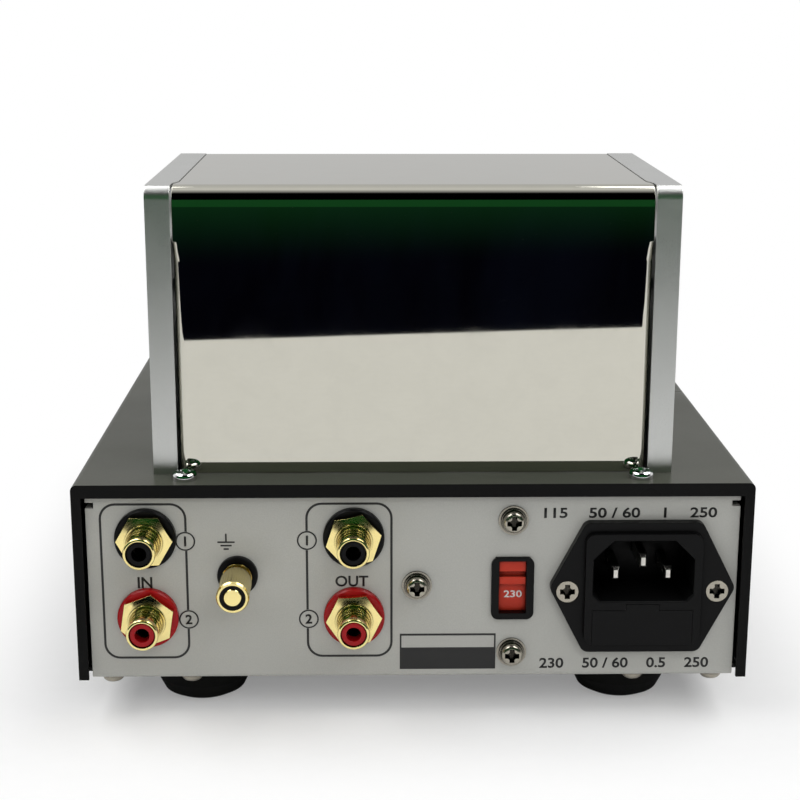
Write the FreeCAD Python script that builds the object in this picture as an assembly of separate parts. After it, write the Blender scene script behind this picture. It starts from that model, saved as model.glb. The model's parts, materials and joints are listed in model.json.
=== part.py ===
import FreeCAD, Part
import math
import os

# Tube phono preamplifier: a low steel case with a mirror-backed tube cage on its deck.
# Millimetres. Z is up, the front faces -Y, and the rear panel with its sockets faces +Y.
# The origin lies on the floor, under the middle of the box that holds the whole object.

V = FreeCAD.Vector

# Case
body_width = 180.0
body_depth = 228.0
cover_height = 54.8
ground_clearance = 12.0
cover_sheet = 1.0
panel_sheet = 1.4
base_sheet = 1.2
cover_bend = 1.6
rear_return = 2.6
rear_return_top = 3.6
bottom_return = 11.0
base_side_gap = 0.5
sheet_gap = 0.3

# Rear panel and front frame, both folded channels
panel_recess = 2.2
panel_side_gap = 2.3
panel_bend = 1.35
top_flange = 11.4
bottom_flange = 10.2
side_flange = 8.0
relief_width = 2.2
relief_height = 1.6
relief_drop = 4.4
frame_side_gap = 0.6

# Front panel
front_thickness = 5.0
front_overhang = 0.9
front_chamfer = 0.8
front_screw_side = 14.0
front_screw_inset_z = 9.0

# Feet
foot_radius = 13.2
foot_tip_radius = 11.4
foot_edge = 2.4
foot_neck_radius = 11.0
foot_neck = 4.3
foot_side = 31.2
foot_inset = 24.6
foot_socket_radius = 5.0
foot_socket_depth = 7.0

# Screws: shank radius, head radius and head height of each size
m3 = 1.5
m3_head = 2.95
m3_head_height = 2.2
m3_washer = 4.0
m3_washer_thickness = 0.5
m3_spring = 3.3
m3_spring_thickness = 0.7
m3_spring_slit = 0.5
m3_nut = 5.5
m3_nut_height = 2.4
m4 = 2.0
m4_head = 3.8
m4_head_height = 2.6
m4_nut = 7.0
m4_nut_height = 3.0
hole_clearance = 0.2
thread_clearance = 0.05
cross_width = 1.35
cross_length = 3.9
cross_depth = 1.8
cross_corner = 0.4
cross_taper = 0.75

# Screw places
deck_screw_side = 29.4
deck_screw_inset = 5.8
deck_screw_head = 3.3
deck_screw_length = 7.0
base_screw_outer_side = 8.0
base_screw_inner_side = 29.6
base_screw_inset = 8.0
side_screw_inset = 6.5
side_screw_span = 88.0

# Tube cage
cage_width = 138.7
cage_height = 76.9
cage_depth = 89.0
cage_inset = 10.0
frame_plate = 6.5
frame_corner = 3.4
lip_width = 1.25
lip_height = 1.2
lip_rear_gap = 7.0
lip_taper = 5.0
lip_gap = 0.2
mirror_sheet = 1.0
mirror_recess = 0.7
mirror_drop = 0.2
mirror_bend_run = 5.0
mirror_bend_least = 1.1
mirror_fold = 5.2
mirror_bend = 2.2
mirror_side_gap = 0.4
mirror_flange = 12.0
mirror_flange_height = 62.3
mirror_floor_gap = 0.2
mirror_front_lip = 8.0
mirror_front_gap = 1.0
rod_radius = 2.0
rod_count = 5
rod_first = 10.0
rod_pitch = 12.6
rod_inset = 5.0
rod_seat = 3.5
cage_screw_inset = 13.0
cage_screw_length = 9.0
mirror_screw_inset = 7.5
mirror_screw_length = 5.0
mirror_screw_low = 12.0
mirror_screw_high = 50.0

# Tubes and sockets
tube_count = 3
tube_pitch = 36.0
tube_inset = 56.0
tube_radius = 10.5
tube_height = 49.0
tube_wall = 1.0
tube_base_wall = 2.0
tube_tip_radius = 1.8
tube_tip_height = 4.0
tube_shoulder = 2.5
pin_circle = 5.95
pin_radius = 0.5
pin_length = 7.0
pin_steps = 10
socket_radius = 11.0
socket_above_deck = 3.0
socket_hole_margin = 1.5
socket_edge = 1.0
socket_bore = 2.2
mica_radius = 8.9
mica_thickness = 0.6
mica_low = 5.5
mica_high = 34.0
anode_width = 6.6
anode_depth = 10.0
anode_gap = 1.2
getter_radius = 3.6
getter_wire = 0.5
getter_post = 0.3
getter_height = 4.0

# Main board, hung under the deck
board_thickness = 1.6
main_board_width = 116.0
main_board_depth = 66.0
main_board_inset = 27.0
main_board_drop = 10.0
board_hole_inset = 4.0
standoff_radius = 2.75
film_cap_length = 17.0
film_cap_width = 8.0
film_cap_height = 13.0
film_cap_count = 4
film_cap_pitch = 26.0

# Phono jacks
jack_input_side = 19.0
jack_output_x = 15.9
jack_upper_z = 52.1
jack_pitch = 22.3
jack_washer_radius = 8.15
jack_washer_thickness = 2.0
jack_washer_edge = 0.4
jack_shoulder = 1.0
jack_shoulder_radius = 5.6
jack_hex_flats = 13.0
jack_hex_thickness = 2.2
jack_hex_chamfer = 0.5
jack_collar_radius = 4.95
jack_collar_steps = 0.5, 0.2, 0.3
jack_collar_share = 0.2, 0.51, 0.29
jack_collar_length = 4.5
jack_shell_radius = 4.25
jack_shell_length = 5.1
jack_bead_length = 2.2
jack_bead_flare = 0.4
jack_rim_edge = 0.5
jack_thread_radius = 4.75
jack_thread_length = 11.0
jack_insert_radius = 3.45
jack_nose_radius = 3.15
jack_nose_length = 1.5
jack_nose_recess = 0.3
jack_bore_radius = 1.95
jack_bore_depth = 9.0
jack_contact_wall = 0.3
jack_contact_recess = 3.5
jack_rear_length = 4.0
jack_insert_tail = 1.0
jack_inner_washer_radius = 7.0
jack_inner_washer = 1.0
jack_tag_thickness = 0.5
jack_tag_length = 13.0
jack_nut_flats = 12.7
jack_nut_thickness = 2.4
jack_turns = {"input_left": 0.0, "input_right": 39.0, "output_left": 48.0, "output_right": 56.0}
fit_gap = 0.05

# Ground post
post_from_input = 24.1
post_z = 41.5
post_reach = 15.1
post_washer_radius = 5.4
post_washer_thickness = 1.6
post_flange_radius = 3.95
post_flange_thickness = 1.0
post_chamfer = 0.35
post_stud_radius = 2.5
post_thread_radius = 2.9
post_thread_length = 9.0
post_cross_hole = 0.8
post_open = 1.1
collar_radius = 3.2
collar_thickness = 1.1
nut_radius = 4.15
nut_front_radius = 4.3
nut_front_length = 1.6
nut_bevel = 0.6
nut_grooves = 36
nut_groove = 0.28
ring_radius = 3.35
ring_depth = 1.5
post_nut_flats = 8.0
post_nut_thickness = 2.5
post_inner_washer = 1.0

# Mains inlet and fuse drawer
inlet_side = 29.0
inlet_z = 38.3
inlet_screw_pitch = 40.0
inlet_screw_drop = 1.0
inlet_width = 49.6
inlet_height = 36.4
inlet_flat = 31.0
inlet_corner = 2.4
inlet_flange = 2.8
inlet_raise = 1.6
inlet_raise_width = 31.0
inlet_raise_height = 31.0
inlet_body_width = 29.0
inlet_body_height = 31.0
inlet_body_depth = 22.0
cutout_gap = 0.3
socket_width = 26.8
socket_height = 16.8
socket_top = 13.6
socket_corner = 5.2
socket_low_corner = 2.0
socket_mouth = 0.3
socket_depth = 16.2
blade_pitch = 14.0
blade_rise = 4.0
blade_height = 4.0
blade_width = 2.0
blade_line = 5.4
blade_recess = 3.2
blade_bevel = 0.45
blade_bevel_length = 1.0
earth_lead = 1.5
tab_length = 8.0
tab_thickness = 0.8
inlet_screw_head = 3.0
drawer_width = 26.8
drawer_height = 9.8
drawer_low = 15.6
drawer_tab_width = 8.8
drawer_tab_height = 1.7
drawer_face = 2.4
drawer_depth = 17.0
drawer_wall = 1.2
drawer_gap = 0.1
fuse_radius = 2.5
fuse_length = 20.0
fuse_cap_length = 5.0
fuse_first = 6.5
fuse_spacing = 6.6

# Voltage selector
selector_from_inlet = 34.5
selector_z = 37.9
selector_width = 11.4
selector_height = 17.4
selector_drop = 0.4
selector_corner = 2.0
selector_proud = 1.0
window_width = 7.3
window_height = 14.7
selector_neck = 0.7
selector_body_width = 14.0
selector_body_depth = 12.0
selector_ear_height = 45.0
selector_ear = 1.2
selector_screw_pitch = 37.4
slide_travel = 7.4
slide_overlap = 0.35
slide_lip = 0.35
slide_plate = 1.4
slide_gap = 0.1
knob_height = 6.5
knob_proud = 1.7
knob_groove = 1.6
knob_groove_drop = 0.4
knob_margin = 0.2
middle_screw_x = -0.9
middle_screw_z = 38.4
panel_screw_length = 11.0
tag_radius = 3.6
tag_thickness = 0.6
earth_tag_length = 12.0

# Power button, switch and light on the front
button_side = 28.0
button_z = 39.0
button_radius = 5.0
button_proud = 4.0
button_gap = 0.15
button_edge = 0.6
button_travel = 3.0
button_tail = 2.0
stem_width = 3.0
stem_length = 9.0
switch_width = 15.0
switch_height = 15.0
switch_depth = 22.0
switch_flange = 30.0
switch_flange_thickness = 1.5
switch_screw_pitch = 22.0
switch_tab_x = 4.0
light_from_button = 18.0
light_radius = 2.5
light_proud = 1.2
light_rim_radius = 2.9
light_rim = 1.0

# Transformer
core_width = 57.0
core_height = 48.0
core_stack = 26.0
core_leg = 9.5
coil_gap = 0.3
coil_overhang = 8.5
transformer_side = 54.0
transformer_inset = 150.0
clamp_sheet = 1.0
clamp_foot = 10.0
clamp_screw_inset = 5.0

# Power board with its filter capacitors and heat sink
power_board_side = 43.0
power_board_width = 60.0
power_board_depth = 80.0
power_board_inset = 118.0
power_board_height = 6.0
can_radius = 10.0
can_height = 34.0
can_count = 3
can_pitch = 23.0
can_offset = 13.0
sink_width = 10.0
sink_length = 40.0
sink_height = 30.0
sink_fins = 7
sink_fin_depth = 6.0
sink_fin_gap = 3.0
sink_offset = -15.0

# Wiring
wire_radius = 0.9
wire_bend = 2.2
wire_lead = 6.0
wire_height = 8.0

# Levels and planes that follow from the sizes above
panel_flange_z = ground_clearance
base_z = panel_flange_z + panel_sheet
base_top = base_z + base_sheet
cover_bottom = base_z - cover_sheet
deck_z = cover_bottom + cover_height
deck_under = deck_z - cover_sheet
cage_top = deck_z + cage_height
half_width = body_width / 2
inner_half = half_width - cover_sheet
front_screw_x = half_width - front_screw_side
foot_x = half_width - foot_side
deck_screw_x = half_width - deck_screw_side
base_screw_outer_x = half_width - base_screw_outer_side
base_screw_inner_x = half_width - base_screw_inner_side
jack_input_x = half_width - jack_input_side
post_x = jack_input_x - post_from_input
inlet_x = inlet_side - half_width
selector_x = inlet_x + selector_from_inlet
button_x = button_side - half_width
light_x = button_x + light_from_button
transformer_x = transformer_side - half_width
power_board_x = half_width - power_board_side
panel_half = inner_half - panel_side_gap
frame_half = inner_half - frame_side_gap
overall_length = body_depth + front_thickness + button_proud + post_reach
rear_y = overall_length / 2 - post_reach
front_y = rear_y - body_depth
panel_y = rear_y - panel_recess
panel_inner_y = panel_y - panel_sheet
front_inner_y = front_y + panel_sheet
front_face_y = front_y - front_thickness
cage_rear_y = rear_y - cage_inset
cage_front_y = cage_rear_y - cage_depth
cage_half = cage_width / 2
frame_inner = cage_half - frame_plate
mirror_y = cage_rear_y - mirror_recess
mirror_half = frame_inner - mirror_side_gap
mirror_top = cage_top - mirror_drop
tube_y = rear_y - tube_inset
main_board_top = deck_under - main_board_drop
socket_top_z = deck_z + socket_above_deck
post_flange_y = panel_y + post_washer_thickness
post_end_y = rear_y + post_reach
collar_y = post_flange_y + post_flange_thickness + post_open
nut_y = collar_y + collar_thickness
inlet_face_y = panel_y + inlet_flange
socket_face_y = inlet_face_y + inlet_raise
drawer_center_z = inlet_z - drawer_low + drawer_height / 2
slide_front_y = panel_inner_y - slide_gap
slide_height = window_height + slide_travel + 2 * slide_overlap
button_tail_y = front_inner_y + button_tail
transformer_y = rear_y - transformer_inset
power_board_z = base_top + power_board_height


# Basic shapes

def box(x0, x1, y0, y1, z0, z1):
    """Block between two corners."""
    return Part.makeBox(x1 - x0, y1 - y0, z1 - z0, V(x0, y0, z0))


def rod_x(radius, x0, x1, y, z):
    return Part.makeCylinder(radius, x1 - x0, V(x0, y, z), V(1, 0, 0))


def rod_y(radius, y0, y1, x, z):
    return Part.makeCylinder(radius, y1 - y0, V(x, y0, z), V(0, 1, 0))


def rod_z(radius, z0, z1, x, y):
    return Part.makeCylinder(radius, z1 - z0, V(x, y, z0), V(0, 0, 1))


def cone_y(r0, r1, y0, y1, x, z):
    return Part.makeCone(r0, r1, y1 - y0, V(x, y0, z), V(0, 1, 0))


def prism_y(points, y0, y1):
    """Straight block along Y with the given (x, z) outline."""
    corners = [V(x, y0, z) for x, z in points]
    face = Part.Face(Part.makePolygon(corners + corners[:1]))
    return face.extrude(V(0, y1 - y0, 0))


def rounded_y(x, z, width, height, radius, y0, y1):
    """Block along Y, centred on (x, z), with its four long edges rounded."""
    block = box(x - width / 2, x + width / 2, y0, y1, z - height / 2, z + height / 2)
    return block.makeFillet(radius, edges_along(block, V(0, 1, 0)))


def edges_along(shape, direction):
    """Straight edges of a shape that run along one direction."""
    found = []
    for edge in shape.Edges:
        if edge.Curve.TypeId != "Part::GeomLine":
            continue
        run = (edge.Vertexes[1].Point - edge.Vertexes[0].Point).normalize()
        if abs(run.dot(direction)) > 0.999:
            found.append(edge)
    return found


def edges_near(shape, direction, test):
    """Edges along a direction whose middle passes a test."""
    return [e for e in edges_along(shape, direction) if test(e.BoundBox.Center)]


def hex_y(flats, y0, y1, x, z, turn=0.0):
    """Hexagon bar along Y; a turn of zero puts flats at the top and bottom."""
    corner = flats / math.sqrt(3)
    angles = [math.radians(turn + 60 * k) for k in range(6)]
    points = [(x + corner * math.cos(a), z + corner * math.sin(a)) for a in angles]
    return prism_y(points, y0, y1)


def hex_z(flats, z0, z1, x, y):
    corner = flats / math.sqrt(3)
    angles = [math.radians(60 * k) for k in range(6)]
    corners = [V(x + corner * math.cos(a), y + corner * math.sin(a), z0) for a in angles]
    face = Part.Face(Part.makePolygon(corners + corners[:1]))
    return face.extrude(V(0, 0, z1 - z0))


def cut_all(shape, tools):
    for tool in tools:
        shape = shape.cut(tool)
    return shape


def fuse_all(shapes):
    joined = shapes[0].multiFuse(shapes[1:])
    return joined.removeSplitter()


def group(shapes):
    return Part.makeCompound(shapes)


def mirrored(shape):
    """The same shape on the other side of the middle plane."""
    return shape.mirror(V(0, 0, 0), V(1, 0, 0))


def revolve_y(points, x, z):
    """Turned solid about a line along Y through (x, z), from (y, radius) points."""
    corners = [V(x + r, y, z) for y, r in points]
    face = Part.Face(Part.makePolygon(corners + corners[:1]))
    return face.revolve(V(x, 0, z), V(0, 1, 0), 360)


def revolve_z(points, x, y):
    """Turned solid about a line along Z through (x, y), from (radius, z) points."""
    corners = [V(x + r, y, z) for r, z in points]
    face = Part.Face(Part.makePolygon(corners + corners[:1]))
    return face.revolve(V(x, y, 0), V(0, 0, 1), 360)


# Fasteners, made standing on the origin with the head up, then turned and placed

def cross_ring(arm, slot, corner, z):
    """Outline of a cross recess at one depth, with its inner corners cut off."""
    quarter = [(arm, -slot), (arm, slot), (slot + corner, slot), (slot, slot + corner)]
    points = []
    for turn in range(4):
        for x, y in quarter:
            points.append(V(x, y, z))
        quarter = [(-y, x) for x, y in quarter]
    return Part.makePolygon(points + points[:1])


def cross_recess(size, top):
    """Tapered cross recess that opens at z = top; size scales it to the head."""
    arm = cross_length * size / 2
    slot = cross_width * size / 2
    corner = cross_corner * size
    above = 0.5
    grow = 1 + (1 - cross_taper) * above / cross_depth
    rings = [cross_ring(arm * grow, slot * grow, corner * grow, top + above),
             cross_ring(arm * cross_taper, slot * cross_taper, corner * cross_taper, top - cross_depth)]
    return Part.makeLoft(rings, True, True)


def pan_screw(shank, head, head_height, length):
    """Pan-head cross screw; the head's seat is at z = 0 and the shank points down."""
    top = Part.makeCylinder(head, head_height)
    rim = [e for e in top.Edges if abs(e.BoundBox.Center.z - head_height) < 0.01]
    top = top.makeFillet(0.62 * head_height, [e for e in rim if len(e.Vertexes) == 1])
    body = top.fuse(Part.makeCylinder(shank, length, V(0, 0, -length)))
    return body.cut(cross_recess(head / m3_head, head_height)).removeSplitter()


def countersunk_screw(shank, head, length):
    """Flat-head cross screw; the flat top is at z = 0 and the shank points down."""
    depth = head - shank
    body = Part.makeCone(shank, head, depth, V(0, 0, -depth))
    body = body.fuse(Part.makeCylinder(shank, length, V(0, 0, -length)))
    return body.cut(cross_recess(head / m3_head, 0)).removeSplitter()


def placed(shape, at, head_towards):
    """Turn a fastener so that its head faces one way, and put its seat at a point."""
    turn = FreeCAD.Rotation(V(0, 0, 1), head_towards)
    copy = shape.copy()
    copy.Placement = FreeCAD.Placement(at, turn)
    return copy


def washer(hole, radius, thickness):
    ring = Part.makeCylinder(radius, thickness)
    return ring.cut(Part.makeCylinder(hole, thickness))


def nut_z(flats, height, hole, x, y, z):
    return hex_z(flats, z, z + height, x, y).cut(rod_z(hole, z, z + height, x, y))


def nut_y_axis(flats, hole, y0, y1, x, z, turn=0.0):
    return hex_y(flats, y0, y1, x, z, turn).cut(rod_y(hole, y0, y1, x, z))


# Places that several pieces share

def base_screw_places():
    """Screws that hold the rear panel and the front frame to the base plate."""
    places = []
    for y in (rear_y - base_screw_inset, front_y + base_screw_inset):
        for x in (base_screw_outer_x, base_screw_inner_x):
            places += [(x, y), (-x, y)]
    return places


def side_screw_places():
    """Screws that hold the cover's bottom returns to the base plate."""
    x = inner_half - side_screw_inset
    middle = (rear_y + front_y) / 2
    ys = (middle - side_screw_span / 2, middle + side_screw_span / 2)
    return [(side * x, y) for side in (1, -1) for y in ys]


def deck_screw_places():
    ys = (rear_y - deck_screw_inset, front_y + deck_screw_inset)
    return [(side * deck_screw_x, y) for side in (1, -1) for y in ys]


def foot_places():
    ys = (rear_y - foot_inset, front_y + foot_inset)
    return [(side * foot_x, y) for side in (1, -1) for y in ys]


def cage_screw_places():
    x = cage_half - frame_plate / 2
    ys = (cage_rear_y - cage_screw_inset, cage_front_y + cage_screw_inset)
    return [(side * x, y) for side in (1, -1) for y in ys]


def mirror_screw_places():
    y = mirror_y - mirror_screw_inset
    return [(y, deck_z + mirror_screw_low), (y, deck_z + mirror_screw_high)]


def rod_places():
    y = cage_front_y + rod_inset
    return [(y, deck_z + rod_first + rod_pitch * k) for k in range(rod_count)]


def tube_places():
    start = -tube_pitch * (tube_count - 1) / 2
    return [start + tube_pitch * k for k in range(tube_count)]


def pin_places(x):
    """Nine pins on a circle of ten steps, with the gap towards the rear."""
    angles = [math.radians(90 + 360 / pin_steps * k) for k in range(1, pin_steps)]
    return [(x + pin_circle * math.cos(a), tube_y + pin_circle * math.sin(a)) for a in angles]


def board_corners(x, y_rear, width, depth):
    half = width / 2 - board_hole_inset
    ys = (y_rear - board_hole_inset, y_rear - depth + board_hole_inset)
    return [(x + side * half, y) for side in (1, -1) for y in ys]


def main_board_corners():
    return board_corners(0, rear_y - main_board_inset, main_board_width, main_board_depth)


def power_board_corners():
    y_rear = rear_y - power_board_inset
    return board_corners(power_board_x, y_rear, power_board_width, power_board_depth)


def clamp_screw_places():
    x = core_width / 2 + clamp_sheet + clamp_foot - clamp_screw_inset
    return [(transformer_x + x, transformer_y), (transformer_x - x, transformer_y)]


def jack_places():
    lower = jack_upper_z - jack_pitch
    return {
        "input_left": (jack_input_x, jack_upper_z),
        "input_right": (jack_input_x, lower),
        "output_left": (jack_output_x, jack_upper_z),
        "output_right": (jack_output_x, lower),
    }


def inlet_screw_places():
    z = inlet_z - inlet_screw_drop
    return [(inlet_x + side * inlet_screw_pitch / 2, z) for side in (1, -1)]


def panel_screw_places():
    half = selector_screw_pitch / 2
    pair = [(selector_x, selector_z + half), (selector_x, selector_z - half)]
    return pair + [(middle_screw_x, middle_screw_z)]


def front_screw_places():
    low = cover_bottom + front_screw_inset_z
    high = deck_z - front_screw_inset_z
    return [(side * front_screw_x, z) for side in (1, -1) for z in (low, high)]


def switch_screw_places():
    half = switch_screw_pitch / 2
    return [(button_x, button_z + half), (button_x, button_z - half)]


# Case

def make_top_cover():
    """Folded cover: top, two sides, a rear return and two bottom returns."""
    outer = box(-half_width, half_width, front_y, rear_y, cover_bottom, deck_z)
    long_edges = edges_near(outer, V(0, 1, 0), lambda c: c.z > deck_z - 0.1)
    outer = outer.makeFillet(cover_bend, long_edges)
    inner = box(-inner_half, inner_half, front_y - 1, rear_y + 1, cover_bottom - 1, deck_under)
    long_edges = edges_near(inner, V(0, 1, 0), lambda c: c.z > deck_under - 0.1)
    inner = inner.makeFillet(max(cover_bend - cover_sheet, 0.2), long_edges)
    shell = outer.cut(inner)

    # The return runs down each side to the bottom and is wider along the top
    opening = half_width - rear_return
    top_edge = deck_z - rear_return_top
    outline = [(-inner_half, cover_bottom), (-inner_half, deck_under), (inner_half, deck_under),
               (inner_half, cover_bottom), (opening, cover_bottom), (opening, top_edge),
               (-opening, top_edge), (-opening, cover_bottom)]
    rear_lip = prism_y(outline, rear_y - cover_sheet, rear_y).common(outer)

    y0 = front_inner_y + bottom_flange
    y1 = panel_y - bottom_flange - sheet_gap
    returns = []
    for side in (1, -1):
        x0, x1 = sorted((side * inner_half, side * (inner_half - bottom_return)))
        returns.append(box(x0, x1, y0, y1, cover_bottom, base_z))
    shell = fuse_all([shell, rear_lip] + returns)

    holes = []
    for x, y in deck_screw_places():
        holes.append(rod_z(m3 + hole_clearance, deck_under - 1, deck_z + 1, x, y))
    for x, y in cage_screw_places():
        holes.append(rod_z(m4 + hole_clearance, deck_under - 1, deck_z + 1, x, y))
    for x, y in main_board_corners():
        holes.append(rod_z(m3 + hole_clearance, deck_under - 1, deck_z + 1, x, y))
    for x in tube_places():
        hole = socket_radius + socket_hole_margin
        holes.append(rod_z(hole, deck_under - 1, deck_z + 1, x, tube_y))
    for x, y in side_screw_places():
        holes.append(rod_z(m3 + hole_clearance, cover_bottom - 1, base_z + 1, x, y))
    return cut_all(shell, holes)


def make_base_plate():
    y0 = front_inner_y + sheet_gap
    y1 = panel_inner_y - sheet_gap
    half = inner_half - base_side_gap
    plate = box(-half, half, y0, y1, base_z, base_top)
    holes = []
    for x, y in base_screw_places() + side_screw_places():
        holes.append(rod_z(m3 + hole_clearance, base_z, base_top, x, y))
    for x, y in clamp_screw_places() + power_board_corners():
        holes.append(rod_z(m3 + hole_clearance, base_z, base_top, x, y))
    for x, y in foot_places():
        holes.append(rod_z(m4 + hole_clearance, base_z, base_top, x, y))
    return cut_all(plate, holes)


def folded_channel(half, outer_y, inward):
    """Upright sheet with top, bottom and side flanges; inward is +1 or -1 along Y."""
    def span(depth_from, depth_to):
        return sorted((outer_y + inward * depth_from, outer_y + inward * depth_to))

    y0, y1 = span(0, panel_sheet)
    web = box(-half, half, y0, y1, panel_flange_z, deck_under)
    y0, y1 = span(0, panel_sheet + top_flange)
    relief = relief_width
    top = box(-half + relief, half - relief, y0, y1, deck_under - panel_sheet, deck_under)
    y0, y1 = span(0, bottom_flange)
    bottom = box(-half + relief, half - relief, y0, y1, panel_flange_z, base_z)
    y0, y1 = span(0, side_flange)
    side_top = deck_under - relief_drop - relief_height
    side_low = base_top + sheet_gap
    right = box(half - panel_sheet, half, y0, y1, side_low, side_top)
    channel = fuse_all([web, top, bottom, right, mirrored(right)])
    on_face = lambda c: abs(c.y - outer_y) < 0.01
    level = edges_near(channel, V(1, 0, 0), lambda c: on_face(c) and is_fold(c))
    return channel.makeFillet(panel_bend, level)


def is_fold(center):
    """Whether an edge's middle lies at the foot or head of a folded channel."""
    return center.z < panel_flange_z + 0.01 or center.z > deck_under - 0.01


def channel_reliefs(half, outer_y, inward):
    """Small square holes where the folds of a channel meet at its upper corners."""
    y0, y1 = sorted((outer_y - inward, outer_y + inward * (panel_sheet + 1)))
    z1 = deck_under - relief_drop
    hole = box(half - relief_width, half + 1, y0, y1, z1 - relief_height, z1)
    return [hole, mirrored(hole)]


def make_rear_panel():
    panel = folded_channel(panel_half, panel_y, -1)
    y0 = panel_inner_y - 1
    y1 = panel_y + 1
    holes = channel_reliefs(panel_half, panel_y, -1)
    for x, z in jack_places().values():
        holes.append(rod_y(jack_shoulder_radius + fit_gap, y0, y1, x, z))
    holes.append(rod_y(post_thread_radius + hole_clearance, y0, y1, post_x, post_z))
    gap = 2 * cutout_gap
    holes.append(box_around(inlet_x, inlet_z, inlet_body_width + gap, inlet_body_height + gap, y0, y1))
    neck = 2 * selector_neck
    holes.append(box_around(selector_x, selector_z, window_width + neck + gap,
                            window_height + neck + gap, y0, y1))
    for x, z in inlet_screw_places() + panel_screw_places():
        holes.append(rod_y(m3 + hole_clearance, y0, y1, x, z))
    for x, y in deck_screw_places():
        holes.append(rod_z(m3 + thread_clearance, deck_under - panel_sheet - 1, deck_under + 1, x, y))
    for x, y in base_screw_places():
        holes.append(rod_z(m3 + hole_clearance, panel_flange_z - 1, base_z + 1, x, y))
    return cut_all(panel, holes)


def box_around(x, z, width, height, y0, y1):
    return box(x - width / 2, x + width / 2, y0, y1, z - height / 2, z + height / 2)


def make_front_frame():
    frame = folded_channel(frame_half, front_y, 1)
    y0 = front_y - 1
    y1 = front_inner_y + 1
    holes = []
    for x, z in front_screw_places() + switch_screw_places():
        holes.append(rod_y(m3 + hole_clearance, y0, y1, x, z))
    holes.append(rod_y(button_radius + button_gap, y0, y1, button_x, button_z))
    holes.append(rod_y(light_rim_radius + hole_clearance, y0, y1, light_x, button_z))
    for x, y in deck_screw_places():
        holes.append(rod_z(m3 + thread_clearance, deck_under - panel_sheet - 1, deck_under + 1, x, y))
    for x, y in base_screw_places():
        holes.append(rod_z(m3 + hole_clearance, panel_flange_z - 1, base_z + 1, x, y))
    return cut_all(frame, holes)


def make_front_panel():
    half = half_width + front_overhang
    low = cover_bottom - front_overhang
    high = deck_z + front_overhang
    plate = box(-half, half, front_face_y, front_y, low, high)
    rim = [e for e in plate.Edges if abs(e.BoundBox.Center.y - front_face_y) < 0.01]
    plate = plate.makeChamfer(front_chamfer, rim)
    holes = []
    for x, z in front_screw_places():
        holes.append(rod_y(m3 + thread_clearance, front_y - front_thickness + 1.2, front_y + 1, x, z))
    for x, z in switch_screw_places():
        pocket = m3_head + hole_clearance
        holes.append(rod_y(pocket, front_y - m3_head_height - hole_clearance, front_y + 1, x, z))
    holes.append(rod_y(button_radius + button_gap, front_face_y - 1, front_y + 1, button_x, button_z))
    holes.append(rod_y(light_radius + fit_gap, front_face_y - 1, front_y + 1, light_x, button_z))
    return cut_all(plate, holes)


def make_front_screws():
    """Screws from the frame into the front panel, and the switch's screws with nuts."""
    pieces = []
    screw = pan_screw(m3, m3_head, m3_head_height, front_thickness)
    for x, z in front_screw_places():
        pieces.append(placed(screw, V(x, front_inner_y, z), V(0, 1, 0)))
    length = panel_sheet + switch_flange_thickness + m3_nut_height + 1
    screw = pan_screw(m3, m3_head, m3_head_height, length)
    for x, z in switch_screw_places():
        pieces.append(placed(screw, V(x, front_y, z), V(0, -1, 0)))
        y0 = front_inner_y + switch_flange_thickness
        pieces.append(nut_y_axis(m3_nut, m3 + thread_clearance, y0, y0 + m3_nut_height, x, z))
    return group(pieces)


def make_cover_top_screws():
    screw = pan_screw(m3, deck_screw_head, m3_head_height, deck_screw_length)
    return group([placed(screw, V(x, y, deck_z), V(0, 0, 1)) for x, y in deck_screw_places()])


def make_base_screws():
    """Pan screws from below, each with a washer under its head and a nut inside."""
    pieces = []
    ring = washer(m3 + thread_clearance, m3_washer, m3_washer_thickness)
    for places, seat in ((base_screw_places(), panel_flange_z), (side_screw_places(), cover_bottom)):
        head_seat = seat - m3_washer_thickness
        length = base_top - head_seat + m3_nut_height + 1
        screw = pan_screw(m3, m3_head, m3_head_height, length)
        for x, y in places:
            pieces.append(placed(screw, V(x, y, head_seat), V(0, 0, -1)))
            pieces.append(placed(ring, V(x, y, seat), V(0, 0, -1)))
            pieces.append(nut_z(m3_nut, m3_nut_height, m3 + thread_clearance, x, y, base_top))
    return group(pieces)


def make_rubber_feet():
    """Round feet, tapered to the sole; a narrower neck clears the base screws' heads."""
    top = base_z
    shoulder = top - foot_neck
    outline = [(0, 0), (foot_tip_radius - foot_edge, 0), (foot_tip_radius, foot_edge * 0.55),
               (foot_radius, foot_edge + 2.6), (foot_radius, shoulder - foot_edge / 3),
               (foot_radius - foot_edge / 3, shoulder), (foot_neck_radius, shoulder), (foot_neck_radius, top),
               (0, top)]
    feet = []
    for x, y in foot_places():
        foot = revolve_z(outline, x, y)
        foot = foot.cut(rod_z(foot_socket_radius, -1, foot_socket_depth, x, y))
        feet.append(foot.cut(rod_z(m4 + hole_clearance, 0, top, x, y)))
    return group(feet)


def make_foot_screws():
    """Screws up through the feet, with their nuts on the base plate."""
    pieces = []
    length = base_top - foot_socket_depth + m4_nut_height + 1
    screw = pan_screw(m4, m4_head, m4_head_height, length)
    for x, y in foot_places():
        pieces.append(placed(screw, V(x, y, foot_socket_depth), V(0, 0, -1)))
        pieces.append(nut_z(m4_nut, m4_nut_height, m4 + thread_clearance, x, y, base_top))
    return group(pieces)


# Tube cage

def lip_bar(gap, z0, z1):
    """Lip along a side frame's inner top edge, or with a gap the notch around it."""
    front = cage_front_y + frame_corner - gap
    end = cage_rear_y - lip_rear_gap + gap
    edge = frame_inner - lip_width - gap
    points = [(frame_inner + 1, front), (edge, front), (edge, end - lip_taper),
              (frame_inner - gap, end), (frame_inner + 1, end)]
    face = Part.Face(Part.makePolygon([V(x, y, z0) for x, y in points + points[:1]]))
    return face.extrude(V(0, 0, z1 - z0))


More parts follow.
